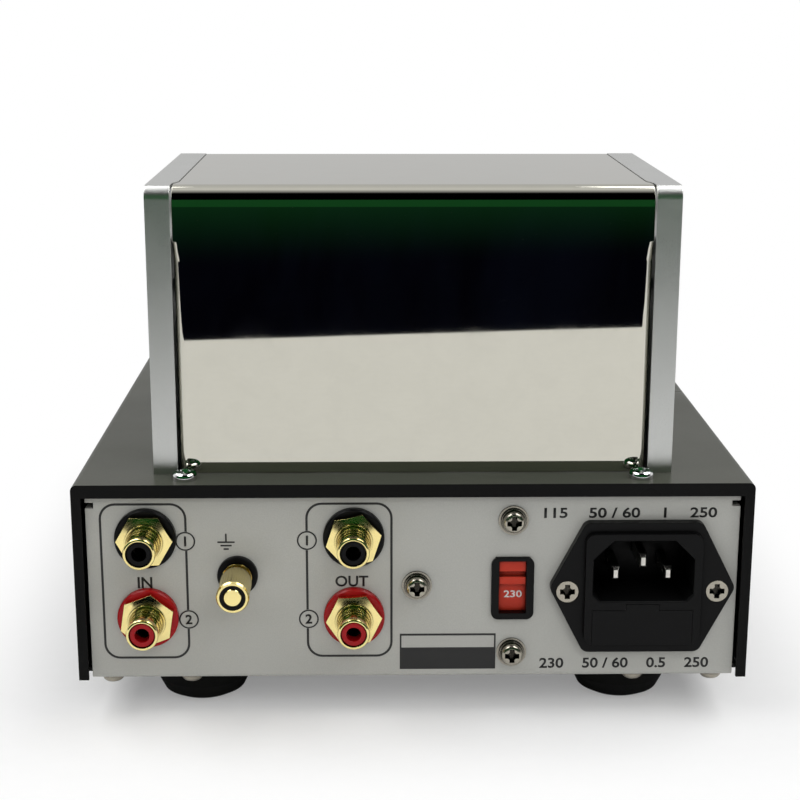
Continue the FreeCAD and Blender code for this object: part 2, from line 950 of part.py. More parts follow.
def make_side_frame():
    """Right side frame: a thick plate with a lip that reaches over beside the mirror sheet's top."""
    plate = box(frame_inner, cage_half, cage_front_y, cage_rear_y, deck_z, cage_top)
    corners = edges_near(plate, V(1, 0, 0), lambda c: c.z > cage_top - 0.1)
    plate = plate.makeFillet(frame_corner, corners)
    lip = lip_bar(0, cage_top - lip_height, cage_top)
    plate = fuse_all([plate, lip])
    holes = []
    for x, y in cage_screw_places():
        holes.append(rod_z(m4 + thread_clearance, deck_z - 1, deck_z + cage_screw_length + 1, abs(x), y))
    for y, z in mirror_screw_places():
        reach = mirror_screw_length - mirror_side_gap - mirror_sheet
        holes.append(rod_x(m3 + thread_clearance, frame_inner - 1, frame_inner + reach + 0.5, y, z))
    for y, z in rod_places():
        holes.append(rod_x(rod_radius + fit_gap, frame_inner - 1, frame_inner + rod_seat, y, z))
    return cut_all(plate, holes)


def bent_outline(half, y0, y1, radius, z):
    """Closed outline across Z of a block whose two rear corners are rounded."""
    c = radius * (1 - math.sqrt(0.5))
    corners = [V(half, y1 - radius, z), V(half, y0, z), V(-half, y0, z), V(-half, y1 - radius, z)]
    lines = [Part.makeLine(start, end) for start, end in zip(corners, corners[1:])]
    left = Part.Arc(V(-half, y1 - radius, z), V(-half + c, y1 - c, z), V(-half + radius, y1, z)).toShape()
    rear = Part.makeLine(V(-half + radius, y1, z), V(half - radius, y1, z))
    right = Part.Arc(V(half - radius, y1, z), V(half - c, y1 - c, z), V(half, y1 - radius, z)).toShape()
    return Part.Wire(lines + [left, rear, right])


def bent_channel(radius0, radius1, z0, z1):
    """Mirror sheet's rear face with both flanges; the bends' radius runs from radius0 up to radius1."""
    front = mirror_y - mirror_flange
    inner_half = mirror_half - mirror_sheet
    inner_y = mirror_y - mirror_sheet
    heights = (radius0, z0), (radius1, z1)
    outer = [bent_outline(mirror_half, front, mirror_y, r, z) for r, z in heights]
    inner = [bent_outline(inner_half, front - 1, inner_y, r - mirror_sheet, z) for r, z in heights]
    return Part.makeLoft(outer, True, True).cut(Part.makeLoft(inner, True, True))


def make_mirror_cover():
    """Polished sheet: top, rounded rear fold, rear face, side flanges and front lip."""
    low = deck_z + mirror_floor_gap
    front = cage_front_y + mirror_front_gap
    outline = box(-mirror_half, mirror_half, front, mirror_y, low, mirror_top)
    fold = edges_near(outline, V(1, 0, 0), lambda c: c.z > mirror_top - 0.1 and c.y > mirror_y - 0.1)
    outline = outline.makeFillet(mirror_fold, fold)
    fold = edges_near(outline, V(1, 0, 0), lambda c: c.z > mirror_top - 0.1 and c.y < front + 0.1)
    outline = outline.makeFillet(mirror_bend, fold)
    inner_top = mirror_top - mirror_sheet
    hollow = box(-mirror_half - 1, mirror_half + 1, front + mirror_sheet, mirror_y - mirror_sheet,
                 low - 1, inner_top)
    inner_y = mirror_y - mirror_sheet
    fold = edges_near(hollow, V(1, 0, 0), lambda c: c.z > inner_top - 0.1 and c.y > inner_y - 0.1)
    hollow = hollow.makeFillet(mirror_fold - mirror_sheet, fold)
    sheet = outline.cut(hollow)
    lip_end = mirror_top - mirror_front_lip
    below_lip = box(-mirror_half - 1, mirror_half + 1, front - 1, front + mirror_sheet + 1, low - 1, lip_end)
    sheet = sheet.cut(below_lip)

    # Side flanges start below the corner reliefs and wrap around the rear edges
    flange_top = deck_z + mirror_flange_height
    run = flange_top - mirror_bend_run
    flanged = fuse_all([bent_channel(mirror_bend, mirror_bend, low, run),
                        bent_channel(mirror_bend, mirror_bend_least, run, flange_top)])
    lower_rear = box(-mirror_half - 1, mirror_half + 1, mirror_y - mirror_sheet - 0.1, mirror_y + 1,
                     low - 1, flange_top)
    sheet = fuse_all([sheet.cut(lower_rear), flanged])
    notch = lip_bar(lip_gap, cage_top - lip_height - lip_gap, cage_top + 1)
    holes = [notch, mirrored(notch)]
    for y, z in mirror_screw_places():
        holes.append(rod_x(m3 + hole_clearance, -mirror_half - 1, mirror_half + 1, y, z))
    return cut_all(sheet, holes)


def make_guard_rods():
    end = frame_inner + rod_seat - 0.2
    return group([rod_x(rod_radius, -end, end, y, z) for y, z in rod_places()])


def make_cage_screws():
    """Screws from under the deck into the frames, and from the flanges into the frames."""
    pieces = []
    frame_screw = pan_screw(m4, m4_head, m4_head_height, cover_sheet + cage_screw_length)
    for x, y in cage_screw_places():
        pieces.append(placed(frame_screw, V(x, y, deck_under), V(0, 0, -1)))
    sheet_screw = pan_screw(m3, m3_head, m3_head_height, mirror_screw_length)
    for y, z in mirror_screw_places():
        for side in (1, -1):
            seat = V(side * (mirror_half - mirror_sheet), y, z)
            pieces.append(placed(sheet_screw, seat, V(-side, 0, 0)))
    return group(pieces)


# Tubes

def make_tube_glass(x):
    """Blown envelope: pressed base with a bevel, straight wall, round top and pinched tip."""
    base = socket_top_z
    top = base + tube_height - tube_tip_height

    def bulb(radius, low, bevel):
        """Bevelled barrel with a half ball on it."""
        shoulder = top - tube_radius
        cone = Part.makeCone(radius - bevel, radius, bevel, V(x, tube_y, low))
        barrel = rod_z(radius, low + bevel, shoulder, x, tube_y)
        ball = Part.makeSphere(radius, V(x, tube_y, shoulder), V(0, 0, 1), 0, 90, 360)
        return fuse_all([cone, barrel, ball])

    tip = Part.makeCone(tube_tip_radius, tube_tip_radius * 0.4, tube_tip_height + tube_wall / 2,
                        V(x, tube_y, top - tube_wall / 2))
    glass = bulb(tube_radius, base, tube_shoulder).fuse(tip)
    glass = glass.cut(bulb(tube_radius - tube_wall, base + tube_base_wall, tube_shoulder - tube_wall))
    hole = pin_radius + fit_gap
    holes = [rod_z(hole, base - 1, base + tube_base_wall + 1, px, py) for px, py in pin_places(x)]
    return cut_all(glass, holes)


def make_tube_electrodes(x):
    """Two anodes between mica discs, with support rods and a getter ring above."""
    base = socket_top_z
    low = base + mica_low
    high = base + mica_high
    parts = []
    for z in (low, high):
        parts.append(rod_z(mica_radius, z, z + mica_thickness, x, tube_y))
    for side in (1, -1):
        x0, x1 = sorted((x + side * anode_gap, x + side * (anode_gap + anode_width)))
        parts.append(box(x0, x1, tube_y - anode_depth / 2, tube_y + anode_depth / 2, low, high))
    ring_z = high + mica_thickness + getter_height
    ring = Part.makeTorus(getter_radius, getter_wire, V(x, tube_y, ring_z))
    parts.append(ring)
    for side in (1, -1):
        parts.append(rod_z(getter_post, high, ring_z, x, tube_y + side * getter_radius))
    return fuse_all(parts)


def make_tube_pins():
    """Nine pins on each tube, from its socket up to the lower mica disc."""
    low = socket_top_z - pin_length
    high = socket_top_z + mica_low
    pins = []
    for x in tube_places():
        pins += [rod_z(pin_radius, low, high, px, py) for px, py in pin_places(x)]
    return group(pins)


def make_tube_sockets():
    """Ceramic sockets on the main board, standing up through the deck."""
    sockets = []
    for x in tube_places():
        body = rod_z(socket_radius, main_board_top, socket_top_z, x, tube_y)
        rim = [e for e in body.Edges if abs(e.BoundBox.Center.z - socket_top_z) < 0.01]
        body = body.makeFillet(socket_edge, [e for e in rim if len(e.Vertexes) == 1])
        low = socket_top_z - pin_length
        hole = pin_radius + fit_gap
        holes = [rod_z(hole, low, socket_top_z + 1, px, py) for px, py in pin_places(x)]
        holes.append(rod_z(socket_bore, low, socket_top_z + 1, x, tube_y))
        sockets.append(cut_all(body, holes))
    return group(sockets)


# Boards and their parts

def make_main_board():
    y1 = rear_y - main_board_inset
    half = main_board_width / 2
    board = box(-half, half, y1 - main_board_depth, y1, main_board_top - board_thickness, main_board_top)
    holes = []
    for x, y in main_board_corners():
        z0 = main_board_top - board_thickness
        holes.append(rod_z(m3 + hole_clearance, z0, main_board_top, x, y))
    return cut_all(board, holes)


def make_power_board():
    y1 = rear_y - power_board_inset
    x0 = power_board_x - power_board_width / 2
    top = power_board_z + board_thickness
    board = box(x0, x0 + power_board_width, y1 - power_board_depth, y1, power_board_z, top)
    holes = [rod_z(m3 + hole_clearance, power_board_z, top, x, y) for x, y in power_board_corners()]
    return cut_all(board, holes)


def make_board_standoffs():
    """Tapped spacers: four hang the main board, four carry the power board."""
    posts = []
    hole = m3 + thread_clearance
    for x, y in main_board_corners():
        post = rod_z(standoff_radius, main_board_top, deck_under, x, y)
        posts.append(post.cut(rod_z(hole, main_board_top, deck_under, x, y)))
    for x, y in power_board_corners():
        post = rod_z(standoff_radius, base_top, power_board_z, x, y)
        posts.append(post.cut(rod_z(hole, base_top, power_board_z, x, y)))
    return group(posts)


def make_inner_screws():
    """Screws of the two boards and of the transformer's clamp frame."""
    pieces = []
    reach = min(main_board_drop, power_board_height) / 2 - 0.3
    through_deck = pan_screw(m3, m3_head, m3_head_height, cover_sheet + reach)
    through_board = pan_screw(m3, m3_head, m3_head_height, board_thickness + reach)
    through_base = pan_screw(m3, m3_head, m3_head_height, base_sheet + reach)
    for x, y in main_board_corners():
        pieces.append(placed(through_deck, V(x, y, deck_z), V(0, 0, 1)))
        pieces.append(placed(through_board, V(x, y, main_board_top - board_thickness), V(0, 0, -1)))
    for x, y in power_board_corners():
        pieces.append(placed(through_board, V(x, y, power_board_z + board_thickness), V(0, 0, 1)))
        pieces.append(placed(through_base, V(x, y, base_z), V(0, 0, -1)))
    clamp_length = base_sheet + clamp_sheet + m3_nut_height + 1
    clamp_screw = pan_screw(m3, m3_head, m3_head_height, clamp_length)
    for x, y in clamp_screw_places():
        pieces.append(placed(clamp_screw, V(x, y, base_z), V(0, 0, -1)))
        nut_seat = base_top + clamp_sheet
        pieces.append(nut_z(m3_nut, m3_nut_height, m3 + thread_clearance, x, y, nut_seat))
    return group(pieces)


def make_film_capacitors():
    """Coupling capacitors under the main board, in two rows beside the sockets."""
    pieces = []
    top = main_board_top - board_thickness
    start = -film_cap_pitch * (film_cap_count - 1) / 2
    for row in (1, -1):
        y = tube_y + row * (socket_radius + film_cap_width)
        for k in range(film_cap_count):
            x = start + film_cap_pitch * k
            block = box(x - film_cap_length / 2, x + film_cap_length / 2, y - film_cap_width / 2,
                        y + film_cap_width / 2, top - film_cap_height, top)
            pieces.append(block.makeFillet(0.8, edges_along(block, V(0, 0, 1))))
    return group(pieces)


def make_filter_capacitors():
    """Cans in a row on the power board, with a rolled groove above the seat."""
    pieces = []
    seat = power_board_z + board_thickness
    middle = rear_y - power_board_inset - power_board_depth / 2
    x = power_board_x + can_offset
    for k in range(can_count):
        y = middle + can_pitch * (k - (can_count - 1) / 2)
        can = rod_z(can_radius, seat, seat + can_height, x, y)
        rims = [e for e in can.Edges if len(e.Vertexes) == 1]
        can = can.makeFillet(0.8, rims)
        groove = Part.makeTorus(can_radius + 0.3, 0.8, V(x, y, seat + 3.5))
        pieces.append(can.cut(groove))
    return group(pieces)


def make_heat_sink():
    """Finned block that stands on the power board beside the cans."""
    seat = power_board_z + board_thickness
    middle = rear_y - power_board_inset - power_board_depth / 2
    x = power_board_x + sink_offset
    block = box(x - sink_width / 2, x + sink_width / 2, middle - sink_length / 2,
                middle + sink_length / 2, seat, seat + sink_height)
    pitch = sink_length / sink_fins
    slots = []
    for k in range(sink_fins):
        y = middle - sink_length / 2 + pitch * (k + 0.5)
        x0 = x + sink_width / 2 - sink_fin_depth
        slots.append(box(x0, x + sink_width, y - sink_fin_gap / 2, y + sink_fin_gap / 2,
                         seat - 1, seat + sink_height + 1))
    return cut_all(block, slots)


# Transformer

def make_transformer_core():
    """Laminated core: outer legs and yokes around two windows."""
    low = base_top + clamp_sheet
    half = core_width / 2
    y0 = transformer_y - core_stack / 2
    y1 = transformer_y + core_stack / 2
    core = box(transformer_x - half, transformer_x + half, y0, y1, low, low + core_height)
    windows = []
    for side in (1, -1):
        x0, x1 = sorted((transformer_x + side * core_leg, transformer_x + side * (half - core_leg)))
        windows.append(box(x0, x1, y0 - 1, y1 + 1, low + core_leg, low + core_height - core_leg))
    return cut_all(core, windows)


def make_transformer_winding():
    """Bobbin and coil around the middle leg, filling the windows."""
    low = base_top + clamp_sheet + core_leg + coil_gap
    high = base_top + clamp_sheet + core_height - core_leg - coil_gap
    half_x = core_width / 2 - core_leg - coil_gap
    half_y = core_stack / 2 + coil_overhang
    coil = box(transformer_x - half_x, transformer_x + half_x, transformer_y - half_y,
               transformer_y + half_y, low, high)
    coil = coil.makeFillet(3.0, edges_along(coil, V(0, 0, 1)))
    leg_x = core_leg + coil_gap
    leg_y = core_stack / 2 + coil_gap
    leg = box(transformer_x - leg_x, transformer_x + leg_x, transformer_y - leg_y,
              transformer_y + leg_y, low - 1, high + 1)
    return coil.cut(leg)


def make_transformer_frame():
    """Strap over the core with a foot each side."""
    low = base_top
    half = core_width / 2 + clamp_sheet
    depth = core_stack / 2 - 3
    top = low + clamp_sheet + core_height
    y0 = transformer_y - depth
    y1 = transformer_y + depth
    strap = box(transformer_x - half, transformer_x + half, y0, y1, low, top + clamp_sheet)
    strap = strap.cut(box(transformer_x - core_width / 2, transformer_x + core_width / 2,
                          y0 - 1, y1 + 1, low + clamp_sheet, top))
    feet = []
    for side in (1, -1):
        x0, x1 = sorted((transformer_x + side * half, transformer_x + side * (half + clamp_foot)))
        feet.append(box(x0, x1, y0, y1, low, low + clamp_sheet))
    strap = fuse_all([strap] + feet)
    holes = [rod_z(m3 + hole_clearance, low - 1, low + clamp_sheet + 1, x, y)
             for x, y in clamp_screw_places()]
    return cut_all(strap, holes)


# Phono jacks

def jack_planes():
    """Y of the hexagon's seat, the hexagon's face and the shell's rim."""
    seat = panel_y + jack_washer_thickness
    face = seat + jack_hex_thickness
    rim = face + jack_collar_length + jack_shell_length
    return seat, face, rim


def make_jack_shell(name):
    """Gold shell: beaded rim, waist, stepped collar, hexagon and threaded tail."""
    x, z = jack_places()[name]
    seat, face, rim = jack_planes()
    tail = panel_y - jack_thread_length
    bore = jack_insert_radius + fit_gap
    edge = jack_rim_edge
    bead = rim - jack_bead_length
    radius = jack_collar_radius
    y = face
    outline = [(tail, bore), (tail, jack_thread_radius), (seat, jack_thread_radius), (face, radius)]
    for step, share in zip(jack_collar_steps, jack_collar_share):
        y += share * jack_collar_length
        outline += [(y, radius), (y, radius - step)]
        radius -= step
    outline += [(bead, radius), (bead + jack_bead_flare, jack_shell_radius), (rim - edge, jack_shell_radius),
                (rim - edge / 3, jack_shell_radius - edge / 3), (rim, jack_shell_radius - edge), (rim, bore)]
    shell = revolve_y(outline, x, z)
    nut = hex_y(jack_hex_flats, seat, face, x, z, jack_turns[name])
    corner = jack_hex_flats / math.sqrt(3)
    cap = [(seat, 0), (seat, corner), (face - jack_hex_chamfer, corner), (face, jack_collar_radius),
           (face, 0)]
    nut = nut.common(revolve_y(cap, x, z)).cut(rod_y(bore, seat - 1, face + 1, x, z))
    return shell.fuse(nut).removeSplitter()


def make_jack_washers(side):
    """Outer shoulder washers and inner flat washers of the left or the right channel."""
    pieces = []
    hole = jack_thread_radius + fit_gap
    for name, (x, z) in jack_places().items():
        if not name.endswith(side):
            continue
        front = panel_y + jack_washer_thickness
        outline = [(panel_y - jack_shoulder, 0), (panel_y - jack_shoulder, jack_shoulder_radius),
                   (panel_y, jack_shoulder_radius), (panel_y, jack_washer_radius),
                   (front - jack_washer_edge, jack_washer_radius),
                   (front, jack_washer_radius - jack_washer_edge), (front, 0)]
        outer = revolve_y(outline, x, z)
        y0 = panel_inner_y - jack_inner_washer
        inner = rod_y(jack_inner_washer_radius, y0, panel_inner_y, x, z)
        drill = rod_y(hole, y0 - 1, front + 1, x, z)
        pieces += [outer.cut(drill).removeSplitter(), inner.cut(drill)]
    return group(pieces)


def make_jack_inserts(side):
    """Insulators that fill the shells, with a blind bore for the plug's pin."""
    pieces = []
    rim = jack_planes()[2] - jack_nose_recess
    nose = rim - jack_nose_length
    tail = panel_y - jack_thread_length - jack_insert_tail
    for name, (x, z) in jack_places().items():
        if not name.endswith(side):
            continue
        core = rod_y(jack_insert_radius, tail, nose, x, z).fuse(rod_y(jack_nose_radius, nose, rim, x, z))
        core = core.cut(rod_y(jack_bore_radius, rim - jack_bore_depth, rim + 1, x, z))
        hole = jack_bore_radius - 2 * jack_contact_wall + fit_gap
        pieces.append(core.cut(rod_y(hole, tail - 1, rim, x, z)))
    return group(pieces)


def make_jack_contacts():
    """Centre contacts: a sleeve for the plug's pin and a tail for the wire."""
    pieces = []
    rim = jack_planes()[2] - jack_nose_recess
    tail = jack_tail_y()
    outer = jack_bore_radius - fit_gap
    stem = jack_bore_radius - 2 * jack_contact_wall
    for x, z in jack_places().values():
        floor = rim - jack_bore_depth
        sleeve = rod_y(outer, floor, rim - jack_contact_recess, x, z)
        sleeve = sleeve.cut(rod_y(outer - jack_contact_wall, floor + 1, rim, x, z))
        pieces.append(sleeve.fuse(rod_y(stem, tail, floor, x, z)).removeSplitter())
    return group(pieces)


def make_panel_nuts():
    """Nuts of jacks and ground post inside the panel, the jacks' each on a solder tag."""
    pieces = []
    y1 = panel_inner_y - post_inner_washer
    hole = post_thread_radius + thread_clearance
    pieces.append(nut_y_axis(post_nut_flats, hole, y1 - post_nut_thickness, y1, post_x, post_z))
    y1 = panel_inner_y - jack_inner_washer
    y0 = y1 - jack_tag_thickness
    hole = jack_thread_radius + thread_clearance
    for x, z in jack_places().values():
        tag = rod_y(jack_nut_flats / 2, y0, y1, x, z)
        tag = tag.fuse(box(x - 1.5, x + 1.5, y0, y1, z - jack_tag_length, z))
        pieces.append(tag.cut(rod_y(hole, y0 - 1, y1 + 1, x, z)).removeSplitter())
        pieces.append(nut_y_axis(jack_nut_flats, hole, y0 - jack_nut_thickness, y0, x, z))
    return group(pieces)


# Ground post

def make_ground_post():
    """Flange, stud with a wire hole, and the threaded tail through the panel."""
    flange_end = post_flange_y + post_flange_thickness
    parts = [rod_y(post_flange_radius, post_flange_y, flange_end, post_x, post_z),
             revolve_y([(flange_end, 0), (flange_end, post_stud_radius),
                        (post_end_y - post_chamfer, post_stud_radius),
                        (post_end_y, post_stud_radius - post_chamfer), (post_end_y, 0)], post_x, post_z),
             rod_y(post_thread_radius, panel_y - post_thread_length, post_flange_y, post_x, post_z)]
    post = fuse_all(parts)
    y = flange_end + post_open / 2
    return post.cut(rod_z(post_cross_hole * 0.6, post_z - 5, post_z + 5, post_x, y))


def make_ground_washers():
    """Insulating washers outside and inside the panel, and the fixing nut's seat."""
    hole = post_thread_radius + fit_gap
    outer = rod_y(post_washer_radius, panel_y, post_flange_y, post_x, post_z)
    rim = [e for e in outer.Edges if abs(e.BoundBox.Center.y - post_flange_y) < 0.01]
    outer = outer.makeFillet(0.5, [e for e in rim if len(e.Vertexes) == 1])
    y0 = panel_inner_y - post_inner_washer
    inner = rod_y(post_washer_radius, y0, panel_inner_y, post_x, post_z)
    drill = rod_y(hole, y0 - 1, post_flange_y + 1, post_x, post_z)
    return group([outer.cut(drill), inner.cut(drill)])


def make_ground_collar():
    """Loose collar that presses the wire against the flange and doesn't turn."""
    collar = rod_y(collar_radius, collar_y, nut_y, post_x, post_z)
    return collar.cut(rod_y(post_stud_radius + fit_gap, collar_y - 1, nut_y + 1, post_x, post_z))


def make_ground_thumb_nut():
    """Knurled barrel with a plain front band, bored for the stud and the ring."""
    band = post_end_y - nut_front_length
    outline = [(nut_y, 0), (nut_y, nut_radius - 0.4), (nut_y + 0.4, nut_radius), (band, nut_radius),
               (band, nut_front_radius), (post_end_y - nut_bevel, nut_front_radius),
               (post_end_y, nut_front_radius - nut_bevel * 0.6), (post_end_y, 0)]
    barrel = revolve_y(outline, post_x, post_z)
    grooves = []
    for k in range(nut_grooves):
        a = 2 * math.pi * k / nut_grooves
        x = post_x + (nut_radius + 0.12) * math.cos(a)
        z = post_z + (nut_radius + 0.12) * math.sin(a)
        grooves.append(rod_y(nut_groove, nut_y - 1, band, x, z))
    barrel = barrel.cut(grooves)
    bore = rod_y(post_stud_radius + fit_gap, nut_y - 1, post_end_y + 1, post_x, post_z)
    seat = rod_y(ring_radius + fit_gap, post_end_y - ring_depth, post_end_y + 1, post_x, post_z)
    return cut_all(barrel, [bore, seat])


def make_ground_nut_ring():
    y0 = post_end_y - ring_depth
    ring = rod_y(ring_radius, y0, post_end_y - 0.1, post_x, post_z)
    return ring.cut(rod_y(post_stud_radius + fit_gap, y0 - 1, post_end_y + 1, post_x, post_z))


# Mains inlet

def inlet_outline(width, height, flat):
    """Six-sided flange outline with its points at the left and right."""
    x, z = inlet_x, inlet_z
    return [(x - width / 2, z), (x - flat / 2, z - height / 2), (x + flat / 2, z - height / 2),
            (x + width / 2, z), (x + flat / 2, z + height / 2), (x - flat / 2, z + height / 2)]


def socket_outline(grow):
    """Connector opening: two large bevels at the top, two small ones at the bottom."""
    half = socket_width / 2 + grow
    top = inlet_z + socket_top + grow
    low = inlet_z + socket_top - socket_height - grow
    bevel = socket_corner + grow * 0.4
    small = socket_low_corner
    return [(inlet_x - half, low + small), (inlet_x - half + small, low), (inlet_x + half - small, low),
            (inlet_x + half, low + small), (inlet_x + half, top - bevel), (inlet_x + half - bevel, top),
            (inlet_x - half + bevel, top), (inlet_x - half, top - bevel)]


def make_mains_inlet():
    """Flange, raised front, body behind the panel, socket and drawer cavities."""
    flange = prism_y(inlet_outline(inlet_width, inlet_height, inlet_flat), panel_y, inlet_face_y)
    flange = flange.makeFillet(inlet_corner, edges_along(flange, V(0, 1, 0)))
    raised = rounded_y(inlet_x, inlet_z, inlet_raise_width, inlet_raise_height, inlet_corner,
                       inlet_face_y - 0.5, socket_face_y)
    rear = panel_y - inlet_body_depth
    body = rounded_y(inlet_x, inlet_z, inlet_body_width, inlet_body_height, inlet_corner,
                     rear, panel_y + 0.5)
    inlet = fuse_all([flange, raised, body])

    floor = socket_face_y - socket_depth
    cavity = prism_y(socket_outline(0), floor, socket_face_y + 1)
    inside = ring_at(socket_outline(0), socket_face_y - socket_mouth)
    outside = ring_at(socket_outline(socket_mouth), socket_face_y)
    mouth = Part.makeLoft([inside, outside], True, True)
    tools = [cavity, mouth] + drawer_cavity()
    for x, z in blade_places():
        y0 = rear - 1
        gap = 2 * fit_gap
        tools.append(box_around(x, z, blade_width + gap, blade_height + gap, y0, floor + 1))
    for x, z in inlet_screw_places():
        tools.append(rod_y(m3 + hole_clearance, panel_y - 1, inlet_face_y + 1, x, z))
        depth = inlet_screw_head - m3
        sink = cone_y(m3 + hole_clearance, inlet_screw_head + hole_clearance, inlet_face_y - depth,
                      inlet_face_y, x, z)
        tools.append(sink)
    return cut_all(inlet, tools)


def ring_at(points, y):
    """Closed line through (x, z) points on one plane across Y."""
    corners = [V(x, y, z) for x, z in points]
    return Part.makePolygon(corners + corners[:1])


def drawer_cavity():
    """Space for the fuse drawer, its face and its pull tab."""
    gap = 2 * drawer_gap
    x, z = inlet_x, drawer_center_z
    rear = socket_face_y - drawer_depth - drawer_gap
    face = box_around(x, z, drawer_width + gap, drawer_height + gap, socket_face_y - drawer_face,
                      socket_face_y + 1)
    inside = box_around(x, z, drawer_width - 2 * drawer_wall + gap, drawer_height - 2 * drawer_wall + gap,
                        rear, socket_face_y)
    tab_z = z + drawer_height / 2 + drawer_tab_height / 2
    tab = box_around(x, tab_z, drawer_tab_width + gap, drawer_tab_height + gap,
                     socket_face_y - drawer_face, socket_face_y + 1)
    return [face, inside, tab]


def blade_places():
    """Centres of the two live blades, then the earth blade above them."""
    line = inlet_z + blade_line
    half = blade_pitch / 2
    return [(inlet_x - half, line - blade_rise / 2), (inlet_x + half, line - blade_rise / 2),
            (inlet_x, line + blade_rise / 2)]


def make_mains_pins():
    """Contact blades with solder tabs behind the inlet; the earth blade is the longest."""
    pins = []
    rear = panel_y - inlet_body_depth
    for k, (x, z) in enumerate(blade_places()):
        tip = socket_face_y - blade_recess + (earth_lead if k == 2 else 0)
        shoulder = tip - blade_bevel_length
        blade = box_around(x, z, blade_width, blade_height, rear, shoulder)
        side = blade_width / 2
        top = blade_height / 2
        nose = Part.makeWedge(x - side, shoulder, z - top, z - top + 2 * blade_bevel, x - side + blade_bevel,
                              x + side, tip, z + top, z + top - 2 * blade_bevel, x + side - blade_bevel)
        blade = blade.fuse(nose)
        tab = box_around(x, z, tab_thickness, blade_height, rear - tab_length, rear)
        pins.append(blade.fuse(tab).removeSplitter())
    return group(pins)


def make_mains_inlet_screws():
    """Countersunk screws through flange and panel, with nuts inside."""
    pieces = []
    length = inlet_flange + panel_sheet + m3_nut_height + 1
    screw = countersunk_screw(m3, inlet_screw_head, length)
    for x, z in inlet_screw_places():
        pieces.append(placed(screw, V(x, inlet_face_y, z), V(0, 1, 0)))
        y1 = panel_inner_y
        pieces.append(nut_y_axis(m3_nut, m3 + thread_clearance, y1 - m3_nut_height, y1, x, z))
    return group(pieces)


def fuse_places():
    """Y of the fuse in use and of the spare behind it."""
    first = socket_face_y - fuse_first
    return [first, first - fuse_spacing]


def make_fuse_drawer():
    """Drawer with a face, a pull tab and a trough open at the top for two fuses."""
    x, z = inlet_x, drawer_center_z
    y1 = socket_face_y
    face = box_around(x, z, drawer_width, drawer_height, y1 - drawer_face + drawer_gap, y1)
    tab_z = z + drawer_height / 2 + drawer_tab_height / 2
    tab = box_around(x, tab_z, drawer_tab_width, drawer_tab_height, y1 - drawer_face + drawer_gap, y1)
    width = drawer_width - 2 * drawer_wall
    height = drawer_height - 2 * drawer_wall
    trough = box_around(x, z, width, height, y1 - drawer_depth, y1 - drawer_face + drawer_gap)
    drawer = fuse_all([face, tab, trough])
    room = fuse_length + 1.0
    floor = z - fuse_radius - fit_gap
    pocket = box(x - room / 2, x + room / 2, y1 - drawer_depth + drawer_wall,
                 y1 - drawer_face - drawer_wall + drawer_gap, floor, z + drawer_height)
    return drawer.cut(pocket)


def make_fuses():
    """Two glass fuses with metal end caps, lying across the drawer."""
    pieces = []
    z = drawer_center_z
    half = fuse_length / 2
    for y in fuse_places():
        pieces.append(rod_x(fuse_radius - 0.25, inlet_x - half + fuse_cap_length,
                            inlet_x + half - fuse_cap_length, y, z))
        for side in (1, -1):
            x0, x1 = sorted((inlet_x + side * half, inlet_x + side * (half - fuse_cap_length)))
            pieces.append(rod_x(fuse_radius, x0, x1, y, z))
    return group(pieces)


# Voltage selector

def make_selector_housing():
    """Front frame, neck through the panel, ears and a body with the slide's channel."""
    x, z = selector_x, selector_z
    frame = rounded_y(x, z - selector_drop, selector_width, selector_height, selector_corner, panel_y,
                      panel_y + selector_proud)
    neck_w = window_width + 2 * selector_neck
    neck_h = window_height + 2 * selector_neck
    neck = box_around(x, z, neck_w, neck_h, panel_inner_y, panel_y)
    ear_y = panel_inner_y - selector_ear
    ears = box_around(x, z, selector_body_width - 3, selector_ear_height, ear_y, panel_inner_y)
    channel_height = slide_height + slide_travel + 2 * slide_gap
    body_y = panel_inner_y - selector_body_depth
    body = box_around(x, z, selector_body_width, channel_height + 1.2, body_y, panel_inner_y)
    housing = fuse_all([frame, neck, ears, body])
    window = box_around(x, z, window_width, window_height, panel_inner_y - 1, panel_y + selector_proud + 1)
    floor = slide_front_y - slide_plate - slide_gap
    channel = box_around(x, z, window_width + 2 * slide_lip, channel_height, floor, panel_inner_y)
    tools = [window, channel]
    for sx, sz in panel_screw_places()[:2]:
        tools.append(rod_y(m3 + hole_clearance, ear_y - 1, panel_inner_y + 1, sx, sz))
    return cut_all(housing, tools)


def slide_center_z():
    """Middle of the slide's plate at rest, with its knob at the top of the window."""
    return selector_z + slide_travel / 2


def make_selector_slide():
    """Plate behind the window with a grooved knob that stands into it."""
    z = slide_center_z()
    y0 = slide_front_y - slide_plate
    width = window_width + 2 * slide_lip - 2 * slide_gap
    plate = box_around(selector_x, z, width, slide_height, y0, slide_front_y)
    knob_top = selector_z + window_height / 2 - knob_margin
    knob_z = knob_top - knob_height / 2
    knob = box_around(selector_x, knob_z, window_width - 2 * slide_gap, knob_height, slide_front_y - 0.1,
                      slide_front_y + knob_proud)
    slide = fuse_all([plate, knob])
    groove = box_around(selector_x, knob_z - knob_groove_drop, window_width + 1, knob_groove,
                        slide_front_y + 0.4, slide_front_y + knob_proud + 1)
    return slide.cut(groove)


